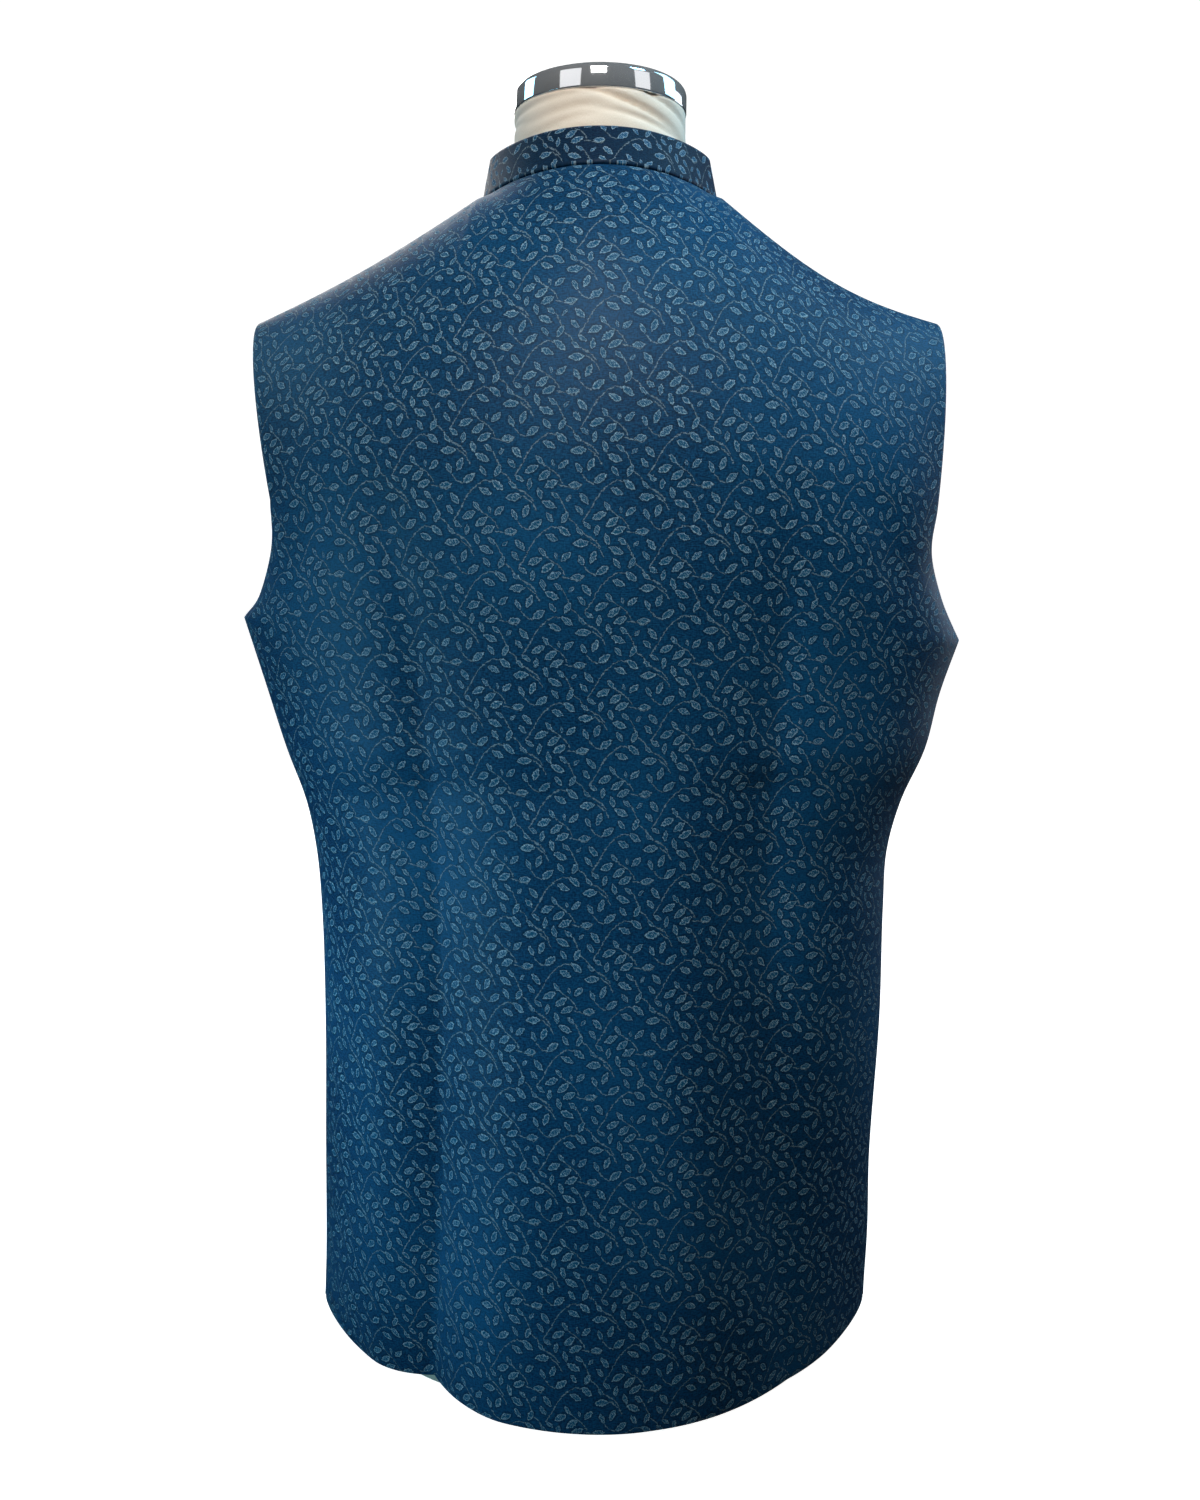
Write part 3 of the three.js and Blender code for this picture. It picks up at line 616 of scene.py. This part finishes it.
def panelRow(side, hand, share, height):
    # height runs from 0 at the hem, through 1 at the underarm and 2 at the last level, to 3
    levels, folds = (backLevels, backFolds) if side > 0 else (frontLevels, frontFolds)
    stops = [levels[0]["z"], levels[underarm]["z"], levels[-1]["z"]]
    i = min(int(min(height, 2)), 1)
    z = stops[i] + (stops[i + 1] - stops[i]) * (min(height, 2) - i)
    part = levels[:underarm + 1] if height <= 1 else levels[underarm:]
    row = rowAt(part, z)
    row["seam"] += cloth["seamGap"] / 2
    points = levelPoints(row, rowAt(folds, z), side, hand, share)
    if height > 2:
        top = topPoints(side, hand, share, noInset)
        top[:, 1] += np.where(share >= shares["neck"], side * cloth["seamGap"] / 2, 0)
        points = yokePoints(points, top, share, height - 2)
    # below the vents' top the side edges of front and back stand apart
    below = np.maximum(cloth["ventTop"] - points[:, 2], 0) / cloth["ventTop"]
    apart = cloth["ventHalfWidth"] * below * np.maximum(share, 0) ** cloth["ventCurve"]
    points[:, 1] += side * apart
    if side < 0:
        points[:, 0] += hand * apart
    return points


# ---- meshes from grids ----

def steps(start, end, count):
    return [start + (end - start) * i / count for i in range(count)]


def unit(vectors):
    return vectors / np.maximum(np.linalg.norm(vectors, axis=-1, keepdims=True), 1e-9)


def gridNormals(points, facing):
    along = np.gradient(points, axis=1)
    up = np.gradient(points, axis=0)
    return unit(np.cross(along, up)) * facing


def grainOf(points, centre, facing):
    # lays the grid flat: U is the length across from the centre column, V the length up
    across = np.linalg.norm(np.diff(points, axis=1), axis=-1)
    u = np.concatenate([np.zeros((len(points), 1)), np.cumsum(across, axis=1)], axis=1)
    u = (u - u[:, centre:centre + 1]) * facing
    rise = np.linalg.norm(np.diff(points, axis=0), axis=-1)
    shear = np.diff(u, axis=0)
    climb = np.sqrt(np.maximum(rise ** 2 - shear ** 2, (0.3 * rise) ** 2))
    v = np.concatenate([np.zeros((1, points.shape[1])), np.cumsum(climb, axis=0)], axis=0)
    return np.stack([u, v], -1)


def flatCut(flat):
    # width, length and area of the cloth laid flat, from millimetres to metres
    size = (flat.reshape(-1, 2).max(0) - flat.reshape(-1, 2).min(0)) * mm
    a, b = flat[1:, 1:] - flat[:-1, :-1], flat[1:, :-1] - flat[:-1, 1:]
    area = np.abs(a[..., 0] * b[..., 1] - a[..., 1] * b[..., 0]).sum() / 2 * mm * mm
    return (float(size[0]), float(size[1])), float(area)


def makeObject(name, points, faces, grainUv, looks, faceLooks=None, place=None):
    mesh = bpy.data.meshes.new(name)
    mesh.from_pydata((np.asarray(points) * mm).tolist(), [], faces)
    for look in looks:
        mesh.materials.append(materials[look])
    layer = mesh.uv_layers.new(name="Grain")
    corners = np.empty(len(mesh.loops), dtype=np.int32)
    mesh.loops.foreach_get("vertex_index", corners)
    layer.data.foreach_set("uv", (np.asarray(grainUv)[corners] * mm).ravel())
    if faceLooks is not None:
        mesh.polygons.foreach_set("material_index", np.asarray(faceLooks, dtype=np.int32))
    mesh.polygons.foreach_set("use_smooth", np.ones(len(mesh.polygons), dtype=bool))
    shape = bmesh.new()
    shape.from_mesh(mesh)
    bmesh.ops.recalc_face_normals(shape, faces=shape.faces)
    shape.to_mesh(mesh)
    shape.free()
    piece = bpy.data.objects.new(name, mesh)
    if place is not None:
        mesh.transform(place)
    bpy.context.scene.collection.objects.link(piece)
    return piece


def quads(rows, columns, base, closed=False):
    last = columns if closed else columns - 1
    return [(base + i * columns + j, base + i * columns + (j + 1) % columns,
             base + (i + 1) * columns + (j + 1) % columns, base + (i + 1) * columns + j)
            for i in range(rows - 1) for j in range(last)]


def clothShell(name, points, facing, wall, centre, looks):
    # a wall under a grid of outer points, with its turned edges rounded over
    rows, columns = points.shape[:2]
    normals = gridNormals(points, facing)
    flat = grainOf(points, centre, facing)
    loop = ([(0, j) for j in range(columns)] + [(i, columns - 1) for i in range(1, rows)]
            + [(rows - 1, j) for j in range(columns - 2, -1, -1)] + [(i, 0) for i in range(rows - 2, 0, -1)])
    out = np.zeros_like(points)
    out[0] += unit(points[0] - points[1])
    out[-1] += unit(points[-1] - points[-2])
    out[:, 0] += unit(points[:, 0] - points[:, 1])
    out[:, -1] += unit(points[:, -1] - points[:, -2])
    out = unit(out - normals * (out * normals).sum(-1, keepdims=True))
    reach = np.full((rows, columns), wall / 2)
    gap = np.linalg.norm(points[:, 0] - points[:, 1], axis=-1)
    reach[:, 0] = np.minimum(reach[:, 0], 0.6 * gap)
    gap = np.linalg.norm(points[:, -1] - points[:, -2], axis=-1)
    reach[:, -1] = np.minimum(reach[:, -1], 0.6 * gap)
    edge = np.zeros((rows, columns), dtype=bool)
    edge[0] = edge[-1] = edge[:, 0] = edge[:, -1] = True
    outer = np.where(edge[..., None], points - out * reach[..., None], points)
    inner = outer - normals * wall
    everything = [outer.reshape(-1, 3), inner.reshape(-1, 3)]
    uv = [flat.reshape(-1, 2)] * 2
    count = rows * columns
    outerFaces = quads(rows, columns, 0)
    innerFaces = quads(rows, columns, count)
    ids = np.array([i * columns + j for i, j in loop])
    at = tuple(np.array(loop).T)
    rings = [ids]
    base = 2 * count
    for k in range(1, cloth["rimSteps"]):
        angle = math.pi * k / cloth["rimSteps"]
        middle = (outer[at] + inner[at]) / 2
        everything.append(middle + normals[at] * wall / 2 * math.cos(angle)
                          + out[at] * reach[at][:, None] * math.sin(angle))
        uv.append(flat[at])
        rings.append(base + np.arange(len(loop)))
        base += len(loop)
    rings.append(ids + count)
    rimFaces = []
    for lower, upper in zip(rings, rings[1:]):
        for k in range(len(loop)):
            n = (k + 1) % len(loop)
            rimFaces.append((int(lower[k]), int(lower[n]), int(upper[n]), int(upper[k])))
    faces = outerFaces + innerFaces + rimFaces
    looksOf = [0] * len(outerFaces) + [1] * len(innerFaces) + [0] * len(rimFaces)
    piece = makeObject(name, np.concatenate(everything), faces, np.concatenate(uv), looks, looksOf)
    return piece, flat, outer, normals


def creased(points, normals, creases, fade):
    # presses soft valleys (or ridges, where the depth is negative) into the cloth
    moved = points.copy()
    flat = points[..., [0, 2]]
    for x0, z0, x1, z1, depth, width in creases:
        start, line = np.array([x0, z0]), np.array([x1 - x0, z1 - z0])
        t = ((flat - start) @ line) / (line @ line)
        foot = start + np.clip(t, 0, 1)[..., None] * line
        away = np.linalg.norm(flat - foot, axis=-1) / width
        taper = ease(1.15 - np.abs(2 * t - 1)) if abs(depth) > 0 else 0
        push = depth * np.exp(-away ** 2) * (0.25 + 0.75 * taper) * fade
        moved -= normals * push[..., None]
    return moved


fineness = {
    "lowerRows": 104, "armholeRows": 26, "yokeRows": 46, "neckColumns": 27, "foldColumns": 7,
    "sideColumns": 40, "overlapColumns": 8,
}


def halfShares(counts):
    return (steps(0, shares["neck"], counts["neckColumns"])
            + steps(shares["neck"], shares["fold"], counts["foldColumns"])
            + steps(shares["fold"], 1, counts["sideColumns"]) + [1])


quarter = np.array(halfShares(fineness))
heights = (steps(0, 1, fineness["lowerRows"]) + steps(1, 2, fineness["armholeRows"])
           + steps(2, 3, fineness["yokeRows"]) + [3])


# soft creases of the back: from x, z to x, z, then depth and width
backCreases = [
    (172, 398, 70, 410, 1.5, 10), (70, 410, -40, 404, 1.0, 9), (-40, 404, -160, 412, 1.2, 10),
    (168, 428, 60, 430, -1.4, 14), (-60, 428, -165, 432, -1.2, 14), (148, 400, 108, 352, 3.0, 13),
    (158, 330, 132, 180, -2.2, 22), (132, 598, 112, 515, 3.6, 10), (112, 515, 103, 410, 2.6, 9),
    (-104, 560, -104, 410, 2.4, 9), (-118, 640, -108, 560, 1.2, 14), (50, 412, 30, 396, 1.4, 8),
    (-94, 412, -100, 380, 0.6, 12), (-150, 560, -128, 470, -1.6, 18), (-188, 520, -150, 600, 1.8, 14),
    (186, 520, 160, 600, 1.6, 13), (40, 640, 10, 520, -0.8, 30), (-60, 330, -90, 120, -1.0, 26),
    (30, 300, 55, 60, -1.2, 24), (-150, 330, -160, 150, -1.4, 22), (-20, 120, -35, 15, 1.2, 12),
    (75, 90, 82, 15, 1.0, 10), (165, 120, 172, 15, -1.2, 14), (-168, 90, -172, 15, 1.0, 12),
]


def makeBack():
    row = np.concatenate([-quarter[:0:-1], quarter])
    points = np.array([np.concatenate([panelRow(1, -1, quarter, h)[:0:-1], panelRow(1, 1, quarter, h)])
                       for h in heights])
    fade = ease((1 - np.abs(row)) / 0.09)[None, :] * ease((3 - np.array(heights)) / 0.2)[:, None]
    points = creased(points, gridNormals(points, -1), backCreases, fade)
    return clothShell("backPanel", points, -1, cloth["wall"], len(quarter) - 1, ["jacquard", "lining"])


frontCreases = [
    (150, 402, 60, 412, 2.0, 9), (60, 412, 10, 406, 1.0, 8), (150, 430, 60, 432, -1.5, 14),
    (190, 530, 120, 590, 2.2, 12), (178, 560, 130, 500, 1.6, 12), (105, 480, 98, 400, 2.0, 9),
    (60, 300, 72, 60, -1.2, 22), (150, 320, 158, 140, -1.6, 20), (40, 640, 70, 540, -1.0, 22),
    (24, 700, 60, 655, 1.2, 12), (120, 90, 126, 15, 1.2, 12), (20, 500, 60, 470, 0.9, 12),
]


def makeFront(hand):
    row = np.concatenate([steps(-shares["overlap"], 0, fineness["overlapColumns"]), quarter])
    points = np.array([panelRow(-1, hand, row, h) for h in heights])
    facing = 1 if hand > 0 else -1
    normals = gridNormals(points, facing)
    fade = (ease((1 - row) / 0.1) * ease((row + 0.02) / 0.14))[None, :] * ease(
        (3 - np.array(heights)) / 0.2)[:, None]
    shift = 0 if hand > 0 else 9    # the two fronts crease a little differently
    creases = [(hand * x0, z0 - shift, hand * x1, z1 + shift, depth * (1 - shift / 40), width)
               for x0, z0, x1, z1, depth, width in frontCreases]
    points = creased(points, normals, creases, fade)
    if hand < 0:    # the right front sinks under the left one
        under = ease((points[..., 0] + cloth["overlap"] + cloth["underlapReach"]) / cloth["underlapReach"])
        points = points - normals * (cloth["underlap"] * under)[..., None]
    name = "frontLeftPanel" if hand > 0 else "frontRightPanel"
    return clothShell(name, points, facing, cloth["wall"], fineness["overlapColumns"], ["jacquard", "lining"])


# ---- collar ----

collar = {
    "height": 27, "leanBack": 28, "leanSide": 12, "leanFront": 4, "endGap": 3, "cornerRadius": 15,
    "columns": 190, "cornerColumns": 10, "rows": 12,
}


def collarPoints(turns, ups):
    hand = np.where(turns < 0, -1, 1)
    turn = np.abs(turns)
    a = np.radians(turn)
    step = 0.5
    points = neckPoints(turn)
    along = unit(neckPoints(turn + step) - neckPoints(turn - step))
    backness, frontness = np.maximum(np.cos(a), 0) ** 2, np.maximum(-np.cos(a), 0) ** 2
    lean = np.radians(collar["leanSide"] + (collar["leanBack"] - collar["leanSide"]) * backness
                      + (collar["leanFront"] - collar["leanSide"]) * frontness)[:, None]
    out = np.stack([np.sin(a), np.cos(a), np.zeros_like(a)], -1)
    rise = np.array([0, 0, 1]) * np.cos(lean) - out * np.sin(lean)
    rise = unit(rise - along * (rise * along).sum(-1, keepdims=True))
    points = points + rise * ups[:, None]
    points[:, 2] += cloth["collarGap"]
    points[:, 0] *= hand
    return points


def makeCollar():
    endTurn = 180 - math.degrees(math.asin(collar["endGap"] / neck["across"]))
    ends = neckPoints(np.array([endTurn, endTurn - 1]))
    cornerTurn = collar["cornerRadius"] / float(np.linalg.norm(ends[0] - ends[1]))
    plain = steps(-endTurn + cornerTurn, endTurn - cornerTurn, collar["columns"])
    corner = [cornerTurn * math.sin(math.radians(a)) for a in steps(0, 90, collar["cornerColumns"])]
    turns = np.array([-endTurn + cornerTurn - d for d in reversed(corner[1:] + [cornerTurn])] + plain
                     + [endTurn - cornerTurn + d for d in corner + [cornerTurn]])
    into = np.clip((np.abs(turns) - (endTurn - cornerTurn)) / cornerTurn, 0, 1)
    tall = collar["height"] - collar["cornerRadius"] * (1 - np.sqrt(1 - into ** 2))
    points = np.array([collarPoints(turns, tall * i / collar["rows"]) for i in range(collar["rows"] + 1)])
    centre = int(np.argmin(np.abs(turns)))
    return clothShell("collarBand", points, -1, cloth["collarWall"], centre, ["collar", "lining"])


# ---- dress form ----

form = {
    "floor": 0, "neckRadius": 53, "neckY": -3, "neckTop": 814.5, "neckFlare": 2.5,
    "inset": {"neck": 11, "sink": 14, "tip": 10, "drop": 1}, "neckColumns": 16, "sideColumns": 30,
    "lowerRows": 60, "yokeRows": 30, "neckRows": 70,
}
formEase = named(("z", "ease", "side"), [
    (0, 36, 34), (125, 34, 32), (312, 26, 27), (420, 20, 38), (500, 13, 26), (600, 8, 9),
])
# gathers of the neck's cover: share of the neck's height, slant, depth, width, then the way the
# deepest place faces in degrees from the back, and how far round the gather runs
coverGathers = [
    (0.86, 0.24, 3.4, 0.024, -28, 36), (0.95, 0.2, 2.4, 0.02, -48, 30), (0.74, 0.14, 2.4, 0.03, -38, 32),
    (0.72, -0.16, 1.0, 0.045, 28, 36), (0.84, -0.1, 0.9, 0.04, 18, 30), (0.93, -0.05, 0.8, 0.03, 55, 40),
    (0.62, 0.05, 1.0, 0.05, 0, 60), (0.78, 0.2, 1.2, 0.04, 150, 40), (0.88, -0.14, 1.3, 0.03, 190, 45),
    (0.66, 0.1, 1.1, 0.05, 120, 40), (0.9, 0.12, 1.0, 0.03, 100, 35), (0.7, -0.12, 1.1, 0.04, -120, 45),
]


def formRow(side, hand, share, height):
    levels = backLevels if side > 0 else frontLevels
    up = min(height, 1)
    z = form["floor"] + (levels[-1]["z"] - form["floor"]) * up
    edgeZ = form["floor"] + (frontLevels[-1]["z"] - form["floor"]) * up
    row, inside = rowAt(levels, z), rowAt(formEase, z)
    oval = {
        "z": z, "mid": row["mid"] - inside["ease"], "left": row["left"] - inside["side"],
        "right": row["right"] - inside["side"], "wing": 0, "seam": 0, "riseLeft": edgeZ - z,
        "riseRight": edgeZ - z, "turn": 90, "flat": 1,
    }
    even = math.sin(shares["fold"] * math.pi / 2)
    noFold = {"left": oval["left"] * even, "right": oval["right"] * even, "leftDepth": 0, "rightDepth": 0}
    low = levelPoints(oval, noFold, side, hand, share)
    if height <= 1:
        return low
    return yokePoints(low, topPoints(side, hand, share, form["inset"]), share, height - 1)


def formRing(share, height):
    backLeft, frontLeft = formRow(1, 1, share, height), formRow(-1, 1, share, height)
    backRight, frontRight = formRow(1, -1, share, height), formRow(-1, -1, share, height)
    return np.concatenate([backLeft, frontLeft[-2::-1], frontRight[1:], backRight[-2:0:-1]])


def neckRing(base, t):
    turn = np.arctan2(base[:, 0], base[:, 1] - form["neckY"])
    flare = (1 - t) ** form["neckFlare"]
    x = form["neckRadius"] * np.sin(turn)
    y = form["neckY"] + form["neckRadius"] * np.cos(turn)
    ring = np.stack([x + (base[:, 0] - x) * flare, y + (base[:, 1] - y) * flare,
                     base[:, 2] + (form["neckTop"] - base[:, 2]) * t], -1)
    degrees = np.degrees(turn)
    for at, slant, depth, width, deepest, spread in coverGathers:
        off = (degrees - deepest + 180) % 360 - 180
        line = at + slant * off / 60
        push = depth * np.exp(-((t - line) / width) ** 2) * np.exp(-(off / spread) ** 2)
        ring[:, 0] -= push * np.sin(turn)
        ring[:, 1] -= push * np.cos(turn)
    return ring


def makeForm():
    share = np.array(steps(0, shares["neck"], form["neckColumns"])
                     + steps(shares["neck"], 1, form["sideColumns"]) + [1])
    levels = steps(0, 1, form["lowerRows"]) + steps(1, 2, form["yokeRows"]) + [2]
    rings = [formRing(share, height) for height in levels]
    quarterRing = share <= shares["neck"] + 1e-6
    onNeck = np.concatenate([quarterRing, quarterRing[-2::-1], quarterRing[1:], quarterRing[-2:0:-1]])
    neckRings = [neckRing(rings[-1][onNeck], t) for t in steps(0, 1, form["neckRows"])[1:] + [1]]
    count, neckCount = len(rings[0]), int(onNeck.sum())
    points = np.concatenate(rings + neckRings)
    faces = quads(len(rings), count, 0, True)
    lastRow = (len(rings) - 1) * count
    neckBase = len(rings) * count
    lower = [lastRow + int(j) for j in np.nonzero(onNeck)[0]]
    faces += [(lower[j], lower[(j + 1) % neckCount], neckBase + (j + 1) % neckCount, neckBase + j)
              for j in range(neckCount)]
    faces += quads(len(neckRings), neckCount, neckBase, True)
    faces.append(tuple(range(count)))
    faces.append(tuple(neckBase + (len(neckRings) - 1) * neckCount + j for j in range(neckCount)))
    turn = np.arctan2(points[:, 0], points[:, 1])
    uv = np.stack([turn * 120, points[:, 2]], -1)
    piece = makeObject("formCover", points, faces, uv, ["cover"])
    shape = bmesh.new()
    shape.from_mesh(piece.data)
    bmesh.ops.remove_doubles(shape, verts=shape.verts, dist=1e-5)
    bmesh.ops.triangulate(shape, faces=[face for face in shape.faces if len(face.verts) > 4])
    bmesh.ops.recalc_face_normals(shape, faces=shape.faces)
    shape.to_mesh(piece.data)
    shape.free()
    return piece


# ---- turned parts ----

def turnedMesh(name, profile, sides, look, place):
    # a profile of radius and height turned about the axis
    angles = np.arange(sides) * 2 * math.pi / sides
    rings = [np.stack([r * np.cos(angles), r * np.sin(angles), np.full(sides, h)], -1) for r, h in profile]
    faces = quads(len(rings), sides, 0, True)
    faces.append(tuple(range(sides)))
    faces.append(tuple((len(rings) - 1) * sides + j for j in range(sides)))
    lengths = np.cumsum([0] + [math.dist(a, b) for a, b in zip(profile, profile[1:])])
    uv = np.concatenate([np.stack([angles * profile[len(profile) // 2][0], np.full(sides, length)], -1)
                         for length in lengths])
    return makeObject(name, np.concatenate(rings), faces, uv, [look], None, place)


def arc(cx, cy, radius, start, end, count):
    angles = [math.radians(start + (end - start) * i / count) for i in range(count + 1)]
    return [(cx + radius * math.cos(a), cy + radius * math.sin(a)) for a in angles]


cap = {"radius": 53.5, "height": 14, "edge": 4, "gap": 0.4, "sides": 128, "crown": 0.0}


def makeCap():
    radius, height, edge = cap["radius"], cap["height"], cap["edge"]
    profile = [(8, 0), (radius - 2.5, 0)] + arc(radius - 1, 1, 1, -90, 0, 4)
    profile += arc(radius - edge, height - edge, edge, 0, 90, 12) + [(radius * 0.6, height), (8, height)]
    place = Matrix.Translation((0, form["neckY"] * mm, (form["neckTop"] + cap["gap"]) * mm))
    return turnedMesh("neckCap", profile, cap["sides"], "cap", place)


button = {
    "radius": 9, "rim": 1.6, "dish": 2.6, "depth": 3.4, "gap": 0.5, "sides": 64, "holeRadius": 0.95,
    "holeOut": 1.75, "threadRadius": 0.42,
}


def onGrid(points, normals, x, z):
    # the place and the normal of the cloth at x and z, from the nearest corner of its grid
    i, j = np.unravel_index(np.argmin((points[..., 0] - x) ** 2 + (points[..., 2] - z) ** 2),
                            points.shape[:2])
    i, j = min(max(i, 1), len(points) - 2), min(max(j, 1), points.shape[1] - 2)
    along = (points[i, j + 1] - points[i, j - 1]) / 2
    up = (points[i + 1, j] - points[i - 1, j]) / 2
    sides = np.array([[along[0], up[0]], [along[2], up[2]]])
    a, b = np.linalg.solve(sides, np.array([x, z]) - points[i, j][[0, 2]])
    return points[i, j] + a * along + b * up, normals[i, j]


def standOn(place, normal, lift):
    across = Vector((1, 0, 0))
    out = Vector(normal)
    across = (across - out * across.dot(out)).normalized()
    turn = Matrix((across, out.cross(across), out)).transposed().to_4x4()
    return Matrix.Translation((Vector(place) + out * lift) * mm) @ turn


def bent(name, route, radius, look, place):
    # a short round thread along a route of points
    sides = 8
    route = np.array(route, dtype=float)
    tangents = unit(np.gradient(route, axis=0))
    level = unit(np.cross(tangents, [0, 0, 1]) + 1e-6)
    over = np.cross(tangents, level)
    angles = np.arange(sides) * 2 * math.pi / sides
    rings = [p + radius * (np.outer(np.cos(angles), l) + np.outer(np.sin(angles), o))
             for p, l, o in zip(route, level, over)]
    faces = quads(len(route), sides, 0, True)
    faces += [tuple(range(sides)), tuple((len(route) - 1) * sides + j for j in range(sides))]
    uv = np.array([(j * radius, i * radius) for i in range(len(route)) for j in range(sides)])
    return makeObject(name, np.concatenate(rings), faces, uv, [look], None, place)


def joined(name, parts):
    # several meshes as one piece
    shape = bmesh.new()
    for part in parts:
        shape.from_mesh(part.data)
    mesh = parts[0].data
    shape.to_mesh(mesh)
    shape.free()
    for part in parts[1:]:
        bpy.data.objects.remove(part)
    parts[0].name = name
    return parts[0]


def makeButton(number, points, normals):
    low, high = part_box("button_%d" % number)
    z = (low[2] + high[2]) / 2 / mm
    place, normal = onGrid(points, normals, 0, z)
    matrix = standOn(place, normal, button["gap"])
    radius, depth, rim, dish = button["radius"], button["depth"], button["rim"], button["dish"]
    profile = [(0.4, 0), (radius - 1.4, 0)] + arc(radius - 1, 1, 1, -80, 0, 4)
    profile += arc(radius - 0.8, depth - 0.8, 0.8, 0, 90, 4)
    profile += arc(radius - rim, depth - 0.4, 0.4, 90, 180, 3) + [(radius - rim - 1, dish), (3, dish), (0.4, dish)]
    disc = turnedMesh("button%d" % number, profile, button["sides"], "button", matrix)
    holes = []
    for k in range(4):
        a = math.radians(45 + 90 * k)
        spot = Vector((button["holeOut"] * math.cos(a), button["holeOut"] * math.sin(a), -1)) * mm
        hole = turnedMesh("hole%d" % k, [(button["holeRadius"], 0), (button["holeRadius"], depth + 2)], 16,
                          "button", matrix @ Matrix.Translation(spot))
        holes.append(hole)
    cutter = joined("cutter", holes)
    drill = disc.modifiers.new("holes", "BOOLEAN")
    drill.operation, drill.object, drill.solver = "DIFFERENCE", cutter, "EXACT"
    drilled = bpy.data.meshes.new_from_object(disc.evaluated_get(bpy.context.evaluated_depsgraph_get()))
    disc.modifiers.clear()
    disc.data = drilled
    bpy.data.objects.remove(cutter)
    spread = button["holeOut"] * math.sin(math.pi / 4)
    stitches = []
    for row in (-1, 1):
        route = [(spread * math.cos(a), row * spread, dish - 1.2 + 1.7 * math.sin(a))
                 for a in [math.pi * i / 12 for i in range(13)]]
        stitches.append(bent("stitch", route, button["threadRadius"], "thread", matrix))
    stitch = joined("buttonThread%d" % number, stitches)
    return disc, stitch


buttonhole = {"start": -3, "end": 19, "halfWidth": 1.3, "stitches": 30, "radius": 0.34, "bar": 1.9}


def makeButtonhole(number, points, normals):
    # satin stitches side by side round a slit, from the button's shank towards the side seam
    low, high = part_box("button_%d" % number)
    z = (low[2] + high[2]) / 2 / mm
    length = buttonhole["end"] - buttonhole["start"]
    threads = []
    for k in range(buttonhole["stitches"]):
        x = buttonhole["start"] + length * (k + 0.5) / buttonhole["stitches"]
        for edge in (-1, 1):
            place, normal = onGrid(points, normals, x, z + edge * buttonhole["halfWidth"] / 2)
            half = buttonhole["halfWidth"] / 2 - 0.08
            route = [(0, half * s, 0.12 - 0.1 * s * s) for s in (-1, -0.5, 0, 0.5, 1)]
            threads.append(bent("satin", route, buttonhole["radius"], "thread", standOn(place, normal, 0.12)))
    for x in (buttonhole["start"], buttonhole["end"]):
        place, normal = onGrid(points, normals, x, z)
        route = [(0, buttonhole["bar"] * s, 0.3 - 0.15 * s * s) for s in (-1, -0.5, 0, 0.5, 1)]
        threads.append(bent("bar", route, buttonhole["radius"] * 1.5, "thread", standOn(place, normal, 0.12)))
    return joined("buttonhole%d" % number, threads)


# ---- making everything ----

def wear(piece, slot, *nodes):
    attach(piece, "root")
    if nodes:
        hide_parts(*nodes)


back, backFlat, backGrid, backNormals = makeBack()
wear(back, "jacquard", "back")
frontLeft, leftFlat, leftGrid, leftNormals = makeFront(1)
wear(frontLeft, "jacquard", "front_left")
frontRight, rightFlat, rightGrid, rightNormals = makeFront(-1)
wear(frontRight, "jacquard", "front_right")
print("panels")

collarBand, collarFlat, collarGrid, collarNormals = makeCollar()
wear(collarBand, "jacquard", "collar")
print("collar")

cover = makeForm()
wear(cover, "form_cover", "form_body")
neckCap = makeCap()
wear(neckCap, "cap_metal", "neck_cap")
print("dress form")

for number in range(1, 6):
    disc, stitch = makeButton(number, leftGrid, leftNormals)
    wear(disc, "button", "button_%d" % number)
    wear(stitch, "button")
    wear(makeButtonhole(number, leftGrid, leftNormals), "jacquard")
print("buttons and buttonholes")

for piece, flat in ((back, backFlat), (frontLeft, leftFlat), (frontRight, rightFlat), (collarBand, collarFlat)):
    size, area = flatCut(flat)
    print(piece.name, "flat", [round(v, 3) for v in size], "area", round(area, 4))
